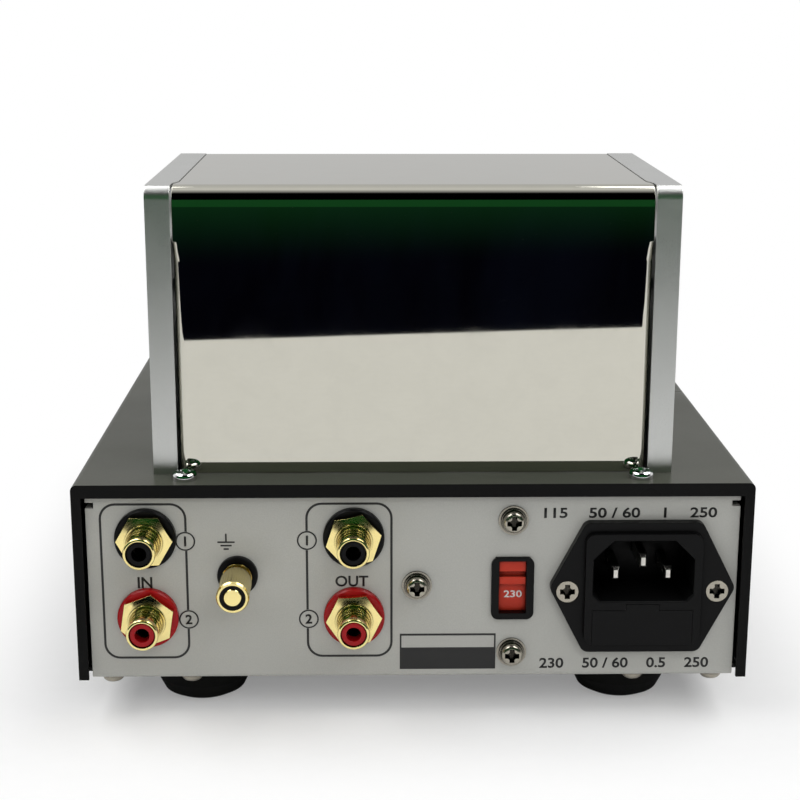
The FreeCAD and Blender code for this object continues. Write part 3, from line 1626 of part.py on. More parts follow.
def make_panel_screws():
    """Pan screws with flat and spring washers outside, nuts inside; the middle one holds an earth tag."""
    pieces = []
    screw = pan_screw(m3, m3_head, m3_head_height, panel_screw_length)
    ring = washer(m3 + thread_clearance, m3_washer, m3_washer_thickness)
    spring = washer(m3 + thread_clearance, m3_spring, m3_spring_thickness)
    slit = m3_spring_slit / 2
    spring = spring.cut(box(-slit, slit, 0, m3_spring + 1, -1, m3_spring_thickness + 1))
    for k, (x, z) in enumerate(panel_screw_places()):
        spring_seat = panel_y + m3_washer_thickness
        seat = spring_seat + m3_spring_thickness
        pieces.append(placed(screw, V(x, seat, z), V(0, 1, 0)))
        pieces.append(placed(spring, V(x, spring_seat, z), V(0, 1, 0)))
        pieces.append(placed(ring, V(x, panel_y, z), V(0, 1, 0)))
        behind = panel_inner_y - (tag_thickness if k == 2 else selector_ear)
        hole = m3 + thread_clearance
        pieces.append(nut_y_axis(m3_nut, hole, behind - m3_nut_height, behind, x, z))
        if k == 2:
            tag = rod_y(tag_radius, behind, panel_inner_y, x, z)
            tag = tag.fuse(box(x - 1.6, x + 1.6, behind, panel_inner_y, z - earth_tag_length, z))
            pieces.append(tag.cut(rod_y(hole, behind - 1, panel_inner_y + 1, x, z)).removeSplitter())
    return group(pieces)


# Front controls

def make_power_button():
    """Round cap through the front panel, with a square stem into the switch."""
    face = front_face_y - button_proud
    cap = rod_y(button_radius, face, button_tail_y, button_x, button_z)
    rim = [e for e in cap.Edges if abs(e.BoundBox.Center.y - face) < 0.01 and len(e.Vertexes) == 1]
    cap = cap.makeFillet(button_edge, rim)
    stem = box_around(button_x, button_z, stem_width, stem_width, button_tail_y, button_tail_y + stem_length)
    return cap.fuse(stem).removeSplitter()


def make_power_switch():
    """Latching switch on the front frame, hollow where cap and stem travel."""
    y0 = front_inner_y
    y1 = y0 + switch_depth
    body = box_around(button_x, button_z, switch_width, switch_height, y0, y1)
    flange = box_around(button_x, button_z, switch_width, switch_flange, y0, y0 + switch_flange_thickness)
    switch = fuse_all([body, flange])
    room = button_tail + button_travel + 0.6
    cap_room = rod_y(button_radius + 0.3, y0 - 1, y0 + room, button_x, button_z)
    stem_room = stem_width + 2 * button_gap
    end = button_tail_y + stem_length + button_travel + 0.6
    stem_hole = box_around(button_x, button_z, stem_room, stem_room, y0, end)
    tools = [cap_room, stem_hole]
    for x, z in switch_screw_places():
        tools.append(rod_y(m3 + hole_clearance, y0 - 1, y0 + switch_flange_thickness + 1, x, z))
    switch = cut_all(switch, tools)
    blades = []
    for side in (1, -1):
        x = button_x + side * switch_tab_x
        blades.append(box_around(x, button_z, tab_thickness, blade_height, y1, y1 + tab_length))
    return fuse_all([switch] + blades)


def make_power_light():
    """Small round lamp with a rim behind the front panel and two leads."""
    face = front_face_y - light_proud
    lens = rod_y(light_radius, face, front_y, light_x, button_z)
    rim = [e for e in lens.Edges if abs(e.BoundBox.Center.y - face) < 0.01 and len(e.Vertexes) == 1]
    lens = lens.makeFillet(light_proud * 0.9, rim)
    collar = rod_y(light_rim_radius, front_y, front_y + light_rim, light_x, button_z)
    return fuse_all([lens, collar])


# Wiring

def cable(*corners):
    """Round wire through straight runs that are joined by arcs."""
    edges = []
    start = corners[0]
    for before, corner, after in zip(corners, corners[1:], corners[2:]):
        back = (before - corner).normalize()
        ahead = (after - corner).normalize()
        half = back.getAngle(ahead) / 2
        run = wire_bend / math.tan(half)
        inward = (back + ahead).normalize()
        middle = corner + inward * (wire_bend / math.sin(half) - wire_bend)
        first = corner + back * run
        last = corner + ahead * run
        edges.append(Part.LineSegment(start, first).toShape())
        edges.append(Part.Arc(first, middle, last).toShape())
        start = last
    edges.append(Part.LineSegment(start, corners[-1]).toShape())
    ring = Part.Wire(Part.makeCircle(wire_radius, corners[0], corners[1] - corners[0]))
    return Part.Wire(edges).makePipeShell([ring], True, False)


def make_internal_wiring():
    return group(mains_wires() + low_voltage_wires() + signal_wires())


def mains_wires():
    """From the inlet to the switch, the transformer and the panel's earth tag."""
    live, neutral, earth = [V(x, panel_y - inlet_body_depth - tab_length, z) for x, z in blade_places()]
    out = V(0, -wire_lead, 0)
    low = base_top + wire_height
    side = -(inner_half - bottom_return - wire_lead / 2)
    contact = V(button_x - switch_tab_x, front_inner_y + switch_depth + tab_length, button_z)
    back = V(0, wire_lead, 0)
    switched = V(button_x + switch_tab_x, contact.y, button_z)
    coil_x = transformer_x - core_leg - wire_lead / 2
    coil_y = core_stack / 2 + coil_overhang
    coil_rear = V(coil_x, transformer_y + coil_y, button_z)
    coil_front = V(coil_x, transformer_y - coil_y, button_z)
    tag_y = panel_inner_y - tag_thickness
    tag = V(middle_screw_x, tag_y, middle_screw_z - earth_tag_length + wire_radius + 0.6)
    first = cable(live, live + out, V(side, live.y - 2 * wire_lead, low),
                  V(side, contact.y + 2 * wire_lead, low), contact + back, contact)
    second = cable(neutral, neutral + out, V(neutral.x, neutral.y - 2 * wire_lead, low + wire_height),
                   V(coil_x, coil_rear.y + 3 * wire_lead, low + wire_height), coil_rear + back, coil_rear)
    third = cable(switched, switched + back, coil_front + out, coil_front)
    fourth = cable(earth, earth + out * 0.6, V(earth.x, earth.y - wire_lead * 0.6, low),
                   V(tag.x - 2 * wire_lead, earth.y - wire_lead * 0.6, low), tag + out, tag)
    return [first, second, third, fourth]


def low_voltage_wires():
    """From the transformer to the power board, and on to the main board and the light."""
    board = power_board_z + board_thickness
    under = main_board_top - board_thickness
    right = V(transformer_x + core_width / 2 - core_leg - coil_gap, 0, 0)
    y = transformer_y + core_stack / 2 + coil_overhang / 2
    x = power_board_x - power_board_width / 2 + wire_lead
    wires = []
    for k in range(2):
        start = V(right.x, y, base_top + core_height / 2 + wire_lead * k)
        end = V(x, y - wire_lead * k, board)
        rise = V(0, 0, wire_lead * (1 + k))
        wires.append(cable(start, start + V(wire_lead * 1.5, 0, 0), V(0, end.y, end.z + rise.z + 2),
                           end + rise, end))
    y0 = rear_y - power_board_inset - wire_lead
    y1 = rear_y - main_board_inset - main_board_depth + wire_lead
    for k in range(2):
        x2 = x + wire_lead * (0.8 + k)
        wires.append(cable(V(x2, y0, board), V(x2, y0, board + 2 * wire_lead),
                           V(x2, y1, under - 2 * wire_lead), V(x2, y1, under)))
    y3 = rear_y - power_board_inset - power_board_depth + 2 * wire_lead
    for k in range(2):
        start = V(light_x, front_y + light_rim, button_z + 2.6 * wire_radius * (k - 0.5))
        end = V(x + wire_lead * k, y3, board)
        rise = V(0, 0, wire_lead * (1 + k))
        turn = V(transformer_x + wire_lead * k, y3, end.z + rise.z)
        wires.append(cable(start, start + V(0, wire_lead * (1 + k), 0), turn, end + rise, end))
    return wires


def signal_wires():
    """From the jacks' contacts to the rear edge of the main board."""
    under = main_board_top - board_thickness
    edge = rear_y - main_board_inset - wire_lead / 2
    ends = {"input_left": main_board_width / 2 - 10, "input_right": main_board_width / 2 - 15,
            "output_left": jack_output_x, "output_right": jack_output_x + wire_lead}
    wires = []
    for name, (x, z) in jack_places().items():
        start = V(x, jack_tail_y(), z)
        end = V(ends[name], edge, under)
        drop = V(0, 0, -wire_lead * (1.6 if name.endswith("right") else 1))
        wires.append(cable(start, start + V(0, -wire_lead * 0.8, 0), end + drop, end))
    return wires


def jack_tail_y():
    return panel_y - jack_thread_length - jack_insert_tail - jack_rear_length


pieces = {
    "top_cover": make_top_cover(),
    "base_plate": make_base_plate(),
    "rear_panel": make_rear_panel(),
    "front_frame": make_front_frame(),
    "front_panel": make_front_panel(),
    "front_screws": make_front_screws(),
    "cover_top_screws": make_cover_top_screws(),
    "base_screws": make_base_screws(),
    "rubber_feet": make_rubber_feet(),
    "foot_screws": make_foot_screws(),
    "side_frame_right": make_side_frame(),
    "side_frame_left": mirrored(make_side_frame()),
    "mirror_cover": make_mirror_cover(),
    "guard_rods": make_guard_rods(),
    "cage_screws": make_cage_screws(),
    "tube_pins": make_tube_pins(),
    "tube_sockets": make_tube_sockets(),
    "main_board": make_main_board(),
    "power_board": make_power_board(),
    "board_standoffs": make_board_standoffs(),
    "inner_screws": make_inner_screws(),
    "film_capacitors": make_film_capacitors(),
    "filter_capacitors": make_filter_capacitors(),
    "heat_sink": make_heat_sink(),
    "transformer_core": make_transformer_core(),
    "transformer_winding": make_transformer_winding(),
    "transformer_frame": make_transformer_frame(),
    "jack_washers_left": make_jack_washers("left"),
    "jack_washers_right": make_jack_washers("right"),
    "jack_inserts_left": make_jack_inserts("left"),
    "jack_inserts_right": make_jack_inserts("right"),
    "jack_contacts": make_jack_contacts(),
    "panel_nuts": make_panel_nuts(),
    "ground_post": make_ground_post(),
    "ground_washers": make_ground_washers(),
    "ground_collar": make_ground_collar(),
    "ground_thumb_nut": make_ground_thumb_nut(),
    "ground_nut_ring": make_ground_nut_ring(),
    "mains_inlet": make_mains_inlet(),
    "mains_pins": make_mains_pins(),
    "mains_inlet_screws": make_mains_inlet_screws(),
    "fuse_drawer": make_fuse_drawer(),
    "fuses": make_fuses(),
    "selector_housing": make_selector_housing(),
    "selector_slide": make_selector_slide(),
    "panel_screws": make_panel_screws(),
    "power_button": make_power_button(),
    "power_switch": make_power_switch(),
    "power_light": make_power_light(),
    "internal_wiring": make_internal_wiring(),
}
for name in jack_places():
    pieces["jack_" + name] = make_jack_shell(name)
for number, x in enumerate(tube_places(), 1):
    pieces["tube_glass_%d" % number] = make_tube_glass(x)
    pieces["tube_electrodes_%d" % number] = make_tube_electrodes(x)

os.makedirs("parts", exist_ok=True)
for name, shape in pieces.items():
    shape.exportStep("parts/" + name + ".step")
    print(name, len(shape.Solids), "solids", round(shape.Volume), "mm3", shape.isValid())
print(len(pieces), "nodes")
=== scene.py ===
import json
import math
import bmesh
import bpy
from mathutils import Matrix, Vector


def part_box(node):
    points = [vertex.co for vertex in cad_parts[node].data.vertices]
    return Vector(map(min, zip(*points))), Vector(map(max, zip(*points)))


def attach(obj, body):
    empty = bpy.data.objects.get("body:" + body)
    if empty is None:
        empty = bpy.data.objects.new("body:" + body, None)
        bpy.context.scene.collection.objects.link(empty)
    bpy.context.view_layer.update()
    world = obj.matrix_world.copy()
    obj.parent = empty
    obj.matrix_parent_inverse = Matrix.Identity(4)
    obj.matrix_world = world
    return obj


# Looks of the tube phono preamplifier, seen from behind. Metres throughout; MM is one millimetre.
MM = 0.001

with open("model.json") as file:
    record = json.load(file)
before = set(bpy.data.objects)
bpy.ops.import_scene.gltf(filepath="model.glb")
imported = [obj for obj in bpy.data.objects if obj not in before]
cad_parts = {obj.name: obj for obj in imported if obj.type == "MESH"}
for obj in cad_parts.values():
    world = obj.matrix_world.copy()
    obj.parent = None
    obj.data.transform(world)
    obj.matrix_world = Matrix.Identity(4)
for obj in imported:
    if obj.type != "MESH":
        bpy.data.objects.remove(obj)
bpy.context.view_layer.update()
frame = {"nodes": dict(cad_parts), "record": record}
nodes = frame["nodes"]


# Node helpers

class Look:
    """A material's node tree, with its principled shader and the object's own coordinates."""

    def __init__(self, name):
        self.material = bpy.data.materials.new(name)
        self.material.use_nodes = True
        self.tree = self.material.node_tree
        self.shader = self.tree.nodes["Principled BSDF"]
        self.place = self.add("ShaderNodeTexCoord").outputs["Object"]

    def add(self, kind, inputs=None, **settings):
        node = self.tree.nodes.new(kind)
        for key, value in settings.items():
            setattr(node, key, value)
        for key, value in (inputs or {}).items():
            self.feed(node.inputs[key], value)
        return node

    def feed(self, socket, value):
        if isinstance(value, bpy.types.NodeSocket):
            self.tree.links.new(value, socket)
        else:
            socket.default_value = value

    def set(self, **values):
        for key, value in values.items():
            self.feed(self.shader.inputs[key.replace("_", " ")], value)

    def noise(self, size, detail=2.0, rough=0.5, stretch=(1, 1, 1), warp=0.0):
        """Noise with features of about size metres, drawn out along an axis by a small stretch there."""
        spot = self.add("ShaderNodeMapping", {"Vector": self.place, "Scale": stretch}).outputs[0]
        made = self.add("ShaderNodeTexNoise", {
            "Vector": spot, "Scale": 1 / size, "Detail": detail, "Roughness": rough, "Distortion": warp})
        return made.outputs["Fac"]

    def cells(self, size):
        """Distance to the nearest of scattered points, about size metres apart."""
        made = self.add("ShaderNodeTexVoronoi", {"Vector": self.place, "Scale": 1 / size})
        return made.outputs["Distance"]

    def facing_up(self):
        """One on a level top, zero on an upright side."""
        normal = self.add("ShaderNodeNewGeometry").outputs["Normal"]
        return self.add("ShaderNodeSeparateXYZ", {"Vector": normal}).outputs[2]

    def axis(self, which):
        return self.add("ShaderNodeSeparateXYZ", {"Vector": self.place}).outputs[which]

    def sums(self, operation, *values):
        node = self.add("ShaderNodeMath", operation=operation)
        for socket, value in zip(node.inputs, values):
            self.feed(socket, value)
        return node.outputs[0]

    def span(self, value, low, high, to_low=0.0, to_high=1.0, smooth=False):
        return self.add("ShaderNodeMapRange", {
            0: value, 1: low, 2: high, 3: to_low, 4: to_high},
            interpolation_type="SMOOTHSTEP" if smooth else "LINEAR").outputs[0]

    def tint(self, share, first, second):
        node = self.add("ShaderNodeMix", data_type="RGBA")
        self.feed(node.inputs[0], share)
        self.feed(node.inputs[6], first if isinstance(first, bpy.types.NodeSocket) else (*first, 1))
        self.feed(node.inputs[7], second if isinstance(second, bpy.types.NodeSocket) else (*second, 1))
        return node.outputs[2]

    def band(self, value, low, high, soft):
        """One between low and high, fading out over soft on each side."""
        up = self.span(value, low - soft, low + soft, smooth=True)
        down = self.span(value, high - soft, high + soft, 1.0, 0.0, smooth=True)
        return self.sums("MULTIPLY", up, down)

    def round_edges(self, radius):
        return self.add("ShaderNodeBevel", {"Radius": radius}, samples=6).outputs[0]

    def open_share(self, reach, low=0.2, high=0.85):
        """One where the surface lies open, zero in corners and hollows narrower than reach: an occlusion mask
        for painting shade.
        """
        made = self.add("ShaderNodeAmbientOcclusion", {"Distance": reach}, samples=8)
        return self.span(made.outputs["AO"], low, high, smooth=True)

    def bump(self, height, depth, strength=1.0, under=None):
        made = self.add("ShaderNodeBump", {"Height": height, "Distance": depth, "Strength": strength})
        if under is not None:
            self.feed(made.inputs["Normal"], under)
        return made.outputs[0]


def colour_stops(ramp, stops):
    """Fill a colour ramp from (position, colour) pairs."""
    for place, (position, colour) in enumerate(stops):
        stop = ramp.elements[place] if place < 2 else ramp.elements.new(position)
        stop.position = position
        stop.color = (*colour, 1)


def shade(colour, factor):
    return tuple(min(1.0, max(0.0, c * factor)) for c in colour)


# Materials

def powder(name, colour, roughness, grain, depth, speckle=0.10, edge=0.25 * MM, gloss=0.5, dust_and_sheen=None):
    """Powder coat: a fine orange peel, a slight speckle, softly rounded edges, and a paler painted sheen
    where it faces up.
    """
    look = Look(name)
    fine = look.noise(grain, 3.0, 0.6)
    broad = look.noise(35 * MM, 3.0, 0.55)
    speck = look.span(look.noise(grain * 0.8, 1.0, 0.5), 0.35, 0.7)
    tone = look.tint(speck, shade(colour, 1 - speckle), shade(colour, 1 + speckle))
    tone = look.tint(look.span(broad, 0.35, 0.75, 0.0, 0.35), tone, shade(colour, 1 - 0.5 * speckle))
    if dust_and_sheen:
        # Painted sheen: a paler tone where the surface faces up.
        upward = look.span(look.facing_up(), 0.5, 0.95, smooth=True)
        painted_sheen = look.tint(speck, shade(dust_and_sheen, 0.93), shade(dust_and_sheen, 1.07))
        tone = look.tint(upward, tone, painted_sheen)
    look.set(Base_Color=tone, Roughness=look.span(broad, 0.3, 0.7, roughness - 0.04, roughness + 0.05))
    look.shader.inputs["Specular IOR Level"].default_value = gloss
    look.set(Normal=look.bump(fine, depth, 1.0, look.round_edges(edge)))
    return look.material


def brushed(name, colour, roughness, along, spread=0.06, depth=0.002 * MM, line=0.16 * MM, edge=0.3 * MM):
    """Brushed or extruded metal: fine lines drawn out along one axis, with faint smudges."""
    look = Look(name)

    def drawn(share):
        return tuple(share if axis == along else 1.0 for axis in "xyz")

    lines = look.noise(line, 3.0, 0.65, drawn(0.012))
    wide = look.noise(1.4 * MM, 2.0, 0.5, drawn(0.03))
    smudge = look.noise(14 * MM, 4.0, 0.6)
    both = look.sums("MULTIPLY_ADD", wide, 0.4, look.sums("MULTIPLY", lines, 0.6))
    look.set(
        Base_Color=look.tint(look.span(both, 0.3, 0.7), shade(colour, 1 - spread), shade(colour, 1 + spread)),
        Metallic=1.0,
        Roughness=look.sums("ADD", look.span(lines, 0.3, 0.7, roughness - 0.03, roughness + 0.03),
                            look.span(smudge, 0.45, 0.75, 0.0, 0.04)))
    look.set(Normal=look.bump(lines, depth, 1.0, look.round_edges(edge)))
    return look.material


def satin(name, colour, roughness, edge=0.3 * MM):
    """Fine blasted and anodised metal: an even satin with a faint grain and a few soft smudges."""
    look = Look(name)
    grain = look.noise(0.10 * MM, 2.0, 0.5)
    smudge = look.noise(16 * MM, 4.0, 0.6)
    look.set(
        Base_Color=look.tint(look.span(grain, 0.3, 0.7), shade(colour, 0.97), shade(colour, 1.03)),
        Metallic=1.0,
        Roughness=look.sums("ADD", look.span(grain, 0.3, 0.7, roughness - 0.02, roughness + 0.02),
                            look.span(smudge, 0.45, 0.75, 0.0, 0.035)))
    look.set(Normal=look.bump(grain, 0.0006 * MM, 1.0, look.round_edges(edge)))
    return look.material


def polished(name, colour, roughness, smudges=0.05, ripple=0.0, edge=0.2 * MM):
    """Polished or plated metal with faint handling marks and a few specks of dust."""
    look = Look(name)
    marks = look.noise(9 * MM, 5.0, 0.65, warp=0.6)
    fine = look.noise(0.35 * MM, 2.0, 0.5)
    dust_and_sheen = look.span(look.cells(2.6 * MM), 0.0, 0.035, 0.25, 0.0)
    rough = look.sums("ADD", look.span(marks, 0.5, 0.8, roughness, roughness + smudges), dust_and_sheen)
    look.set(Base_Color=look.tint(look.span(marks, 0.4, 0.8), colour, shade(colour, 0.95)), Metallic=1.0,
             Roughness=rough)
    wave = look.sums("MULTIPLY_ADD", fine, 0.01, look.noise(30 * MM, 1.0, 0.4)) if ripple else fine
    look.set(Normal=look.bump(wave, ripple or 0.001 * MM, 1.0, look.round_edges(edge)))
    return look.material


def plated(name, colour, roughness, edge=0.15 * MM, reach=1.6 * MM, low=0.2, hollow_shade=0.06):
    """Zinc or nickel on a turned or pressed part: slightly cloudy, finely marked, with painted shade in
    hollows.
    """
    look = Look(name)
    cloud = look.noise(2.5 * MM, 4.0, 0.6)
    turn = look.noise(0.12 * MM, 2.0, 0.5)
    metal = look.tint(look.span(cloud, 0.35, 0.7), shade(colour, 0.86), shade(colour, 1.06))
    look.set(Base_Color=look.tint(look.open_share(reach, low), shade(colour, hollow_shade), metal),
             Metallic=1.0, Roughness=look.span(cloud, 0.3, 0.75, roughness, roughness + 0.14))
    look.set(Normal=look.bump(turn, 0.006 * MM, 1.0, look.round_edges(edge)))
    return look.material


def moulded(name, colour, roughness, grain=0.25 * MM, depth=0.006 * MM, edge=0.25 * MM, soft=0.0, spread=0.12,
            gloss=0.5, reach=0.0, hollow_shade=0.1):
    """Moulded plastic with a fine spark texture and slight flow marks, with painted shade in hollows within
    reach, on its colour and on its reflection.
    """
    look = Look(name)
    look.shader.inputs["Specular IOR Level"].default_value = gloss
    fine = look.noise(grain, 3.0, 0.6)
    flow = look.noise(12 * MM, 3.0, 0.6, warp=0.8)
    tone = look.tint(look.span(flow, 0.35, 0.7), shade(colour, 1 - spread), shade(colour, 1 + spread))
    if reach:
        lit = look.open_share(reach, 0.25, 0.8)
        tone = look.tint(lit, shade(colour, hollow_shade), tone)
        look.set(Specular_Tint=look.tint(lit, (0.0, 0.0, 0.0), (1.0, 1.0, 1.0)))
    look.set(Base_Color=tone, Roughness=look.span(flow, 0.3, 0.75, roughness - 0.04, roughness + 0.06))
    if soft:
        look.set(Subsurface_Weight=soft)
        look.shader.inputs["Subsurface Radius"].default_value = (1.0 * MM, 0.3 * MM, 0.2 * MM)
        look.shader.inputs["Subsurface Scale"].default_value = 1.0
    look.set(Normal=look.bump(fine, depth, 1.0, look.round_edges(edge)))
    return look.material


def gold_plate(name, colour, roughness):
    """Gold plate over turned brass: rings from the lathe round the Y axis, with painted shade in its hollows,
    dark and warm.
    """
    look = Look(name)
    rings = look.noise(0.22 * MM, 2.0, 0.5, (0.02, 1.0, 0.02))
    cloud = look.noise(4 * MM, 3.0, 0.6)
    plate = look.tint(look.span(cloud, 0.35, 0.7), colour, shade(colour, 0.88))
    hollow_shade = tuple(part * share for part, share in zip(colour, (0.16, 0.12, 0.05)))
    look.set(Base_Color=look.tint(look.open_share(0.8 * MM, 0.5, 0.85), hollow_shade, plate), Metallic=1.0,
             Roughness=look.span(rings, 0.3, 0.7, roughness, roughness + 0.10))
    look.set(Normal=look.bump(rings, 0.003 * MM, 1.0, look.round_edges(0.09 * MM)))
    return look.material


def rubber_look(name):
    """Black rubber with fine pits and a little dust."""
    look = Look(name)
    pits = look.cells(0.5 * MM)
    dust_and_sheen = look.noise(6 * MM, 4.0, 0.65)
    tone = look.tint(look.span(dust_and_sheen, 0.4, 0.8), (0.0025, 0.0025, 0.0025), (0.006, 0.006, 0.0055))
    look.set(Base_Color=tone, Roughness=look.span(dust_and_sheen, 0.3, 0.7, 0.62, 0.8))
    look.shader.inputs["Specular IOR Level"].default_value = 0.12
    look.set(Normal=look.bump(pits, 0.02 * MM, 0.6, look.round_edges(0.4 * MM)))
    return look.material


def clear_glass(name):
    """Tube glass: clear, faintly grey, with draw lines."""
    look = Look(name)
    lines = look.noise(3 * MM, 2.0, 0.5, (1, 1, 0.08))
    look.set(Base_Color=look.tint(look.span(lines, 0.3, 0.7), (0.95, 0.97, 0.96), (0.99, 1.0, 0.99)),
             Roughness=look.span(look.noise(8 * MM, 3.0, 0.6), 0.45, 0.8, 0.0, 0.03))
    look.shader.inputs["Transmission Weight"].default_value = 1.0
    look.shader.inputs["IOR"].default_value = 1.49
    look.set(Normal=look.bump(lines, 0.02 * MM, 0.5))
    return look.material


def electrodes(name, mica_low, mica_high, thick):
    """Dark nickel plates with pale mica discs at two heights."""
    look = Look(name)
    up = look.axis(2)
    mica = look.sums("MAXIMUM", look.band(up, mica_low, mica_low + thick, 0.05 * MM),
                     look.band(up, mica_high, mica_high + thick, 0.05 * MM))
    soot = look.noise(2.2 * MM, 4.0, 0.6)
    metal = look.tint(look.span(soot, 0.35, 0.7), (0.10, 0.10, 0.105), (0.32, 0.32, 0.33))
    look.set(Base_Color=look.tint(mica, metal, (0.62, 0.58, 0.50)), Metallic=look.span(mica, 0, 1, 0.9, 0.0),
             Roughness=look.span(soot, 0.3, 0.7, 0.32, 0.55))
    look.set(Normal=look.bump(soot, 0.02 * MM, 0.5, look.round_edges(0.15 * MM)))
    return look.material


def circuit_board(name):
    """Green laminate with paler copper tracks under the mask."""
    look = Look(name)
    tracks = look.span(look.cells(5 * MM), 0.16, 0.2)
    weave = look.noise(0.3 * MM, 2.0, 0.5)
    look.set(Base_Color=look.tint(tracks, (0.045, 0.20, 0.07), (0.02, 0.11, 0.045)),
             Roughness=look.span(weave, 0.3, 0.7, 0.28, 0.4))
    look.set(Normal=look.bump(weave, 0.01 * MM, 1.0))
    return look.material


def core_look(name):
    """Varnished laminations, seen as fine lines across the stack."""
    look = Look(name)
    sheets = look.noise(0.5 * MM, 1.0, 0.4, (0.004, 1.0, 0.004))
    look.set(Base_Color=look.tint(look.span(sheets, 0.4, 0.6), (0.03, 0.028, 0.026), (0.12, 0.11, 0.10)),
             Metallic=0.6, Roughness=look.span(sheets, 0.3, 0.7, 0.3, 0.5))
    look.set(Normal=look.bump(sheets, 0.05 * MM, 1.0))
    return look.material


def winding_look(name):
    """Yellow polyester tape in overlapping turns."""
    look = Look(name)
    turns = look.noise(7 * MM, 1.0, 0.3, (0.02, 0.02, 1.0))
    wrinkle = look.noise(2 * MM, 3.0, 0.6, (0.3, 0.3, 1.0))
    look.set(Base_Color=look.tint(look.span(turns, 0.45, 0.55), (0.62, 0.42, 0.06), (0.78, 0.56, 0.12)),
             Roughness=look.span(wrinkle, 0.3, 0.7, 0.25, 0.4))
    look.set(Normal=look.bump(wrinkle, 0.05 * MM, 1.0))
    return look.material


def wire_look(name):
    """Insulated wires, each in one of five colours."""
    look = Look(name)
    island = look.add("ShaderNodeNewGeometry").outputs["Random Per Island"]
    ramp = look.add("ShaderNodeValToRGB", {"Fac": island})
    ramp.color_ramp.interpolation = "CONSTANT"
    shades = ((0.35, 0.02, 0.02), (0.02, 0.02, 0.02), (0.45, 0.33, 0.03), (0.03, 0.06, 0.3), (0.5, 0.5, 0.47))
    colour_stops(ramp.color_ramp, [(place / len(shades), colour) for place, colour in enumerate(shades)])
    grime = look.noise(3 * MM, 3.0, 0.5)
    look.set(Base_Color=look.tint(look.span(grime, 0.5, 0.9, 0, 0.4), ramp.outputs[0], (0.05, 0.05, 0.05)),
             Roughness=look.span(grime, 0.3, 0.7, 0.3, 0.45))
    return look.material


def can_look(name):
    """Sleeved capacitor cans: dark blue sleeve, bare aluminium top."""
    look = Look(name)
    ring = look.noise(2 * MM, 3.0, 0.6)
    flat = look.span(look.sums("ABSOLUTE", look.facing_up()), 0.9, 0.95)
    sleeve = look.tint(look.span(ring, 0.4, 0.7), (0.012, 0.012, 0.03), (0.03, 0.03, 0.07))
    look.set(Base_Color=look.tint(flat, sleeve, (0.6, 0.6, 0.6)), Metallic=flat,
             Roughness=look.span(ring, 0.3, 0.7, 0.22, 0.34))
    look.set(Normal=look.bump(ring, 0.02 * MM, 0.6, look.round_edges(0.2 * MM)))
    return look.material


def fuse_look(name):
    """Glass fuses with plated caps, as bands along X."""
    look = Look(name)
    low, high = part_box("fuses")
    cap = 5.0 * MM
    across = look.axis(0)
    middle = look.band(across, low.x + cap, high.x - cap, 0.05 * MM)
    haze = look.noise(1.5 * MM, 2.0, 0.5)
    tube = look.tint(haze, (0.75, 0.8, 0.78), (0.9, 0.93, 0.92))
    look.set(Base_Color=look.tint(middle, (0.72, 0.70, 0.66), tube),
             Metallic=look.sums("SUBTRACT", 1.0, middle), Roughness=look.span(haze, 0.3, 0.7, 0.1, 0.2),
             Alpha=look.span(middle, 0, 1, 1.0, 0.45))
    return look.material


def lens_look(name):
    """Clear blue lens of the power light, with a frosted inside."""
    look = Look(name)
    frost = look.noise(0.6 * MM, 3.0, 0.6)
    look.set(Base_Color=look.tint(look.span(frost, 0.3, 0.7), (0.03, 0.12, 0.55), (0.08, 0.22, 0.72)),
             Roughness=look.span(frost, 0.3, 0.7, 0.1, 0.22))
    look.shader.inputs["Transmission Weight"].default_value = 0.45
    look.shader.inputs["Coat Weight"].default_value = 0.6
    look.set(Normal=look.bump(frost, 0.01 * MM, 1.0, look.round_edges(0.3 * MM)))
    return look.material


def ink_look(name, colour, worn):
    """Screen-printed ink: slightly uneven, thinner in places."""
    look = Look(name)
    fine = look.noise(0.3 * MM, 3.0, 0.65)
    look.set(Base_Color=look.tint(look.span(fine, 0.55, 0.8, 0.0, 1.0), colour, worn),
             Roughness=look.span(fine, 0.3, 0.7, 0.42, 0.6))
    return look.material


def getter_look(name):
    """Getter flash: a silvery mirror that thins out and turns brown at its lower edge."""
    look = Look(name)
    patch = look.noise(5 * MM, 4.0, 0.6)
    height = look.sums("ADD", look.axis(2), look.span(patch, 0.3, 0.7, -1.2 * MM, 1.2 * MM))
    solid = look.span(height, TUBE_HIGH - 12.5 * MM, TUBE_HIGH - 9.0 * MM, smooth=True)
    rim = look.span(height, TUBE_HIGH - 10.0 * MM, TUBE_HIGH - 7.5 * MM, smooth=True)
    look.set(Base_Color=look.tint(rim, (0.20, 0.14, 0.10), (0.62, 0.61, 0.60)), Metallic=1.0,
             Roughness=look.span(patch, 0.3, 0.7, 0.06, 0.2), Alpha=solid)
    return look.material


# Heights of the tubes' glass and of the mica discs in it
TUBE_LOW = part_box("tube_glass_1")[0].z
TUBE_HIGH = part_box("tube_glass_1")[1].z
MICA_LOW = TUBE_LOW + 5.5 * MM
MICA_HIGH = TUBE_LOW + 34.0 * MM

BLACK = (0.0035, 0.0035, 0.0035)
GREY = (0.385, 0.385, 0.358)
SATIN = (0.56, 0.565, 0.55)
GOLD = (0.88, 0.74, 0.32)

# Black powder gets a paler painted sheen on the tops that face up.
black_steel = powder("black_powder", BLACK, 0.31, 0.45 * MM, 0.010 * MM, 0.16, gloss=0.08,
                     dust_and_sheen=(0.080, 0.082, 0.068))
grey_steel = powder("grey_powder", GREY, 0.46, 0.40 * MM, 0.014 * MM, 0.045)
base_steel = powder("base_powder", (0.005, 0.005, 0.005), 0.42, 0.5 * MM, 0.02 * MM, 0.14, gloss=0.2)
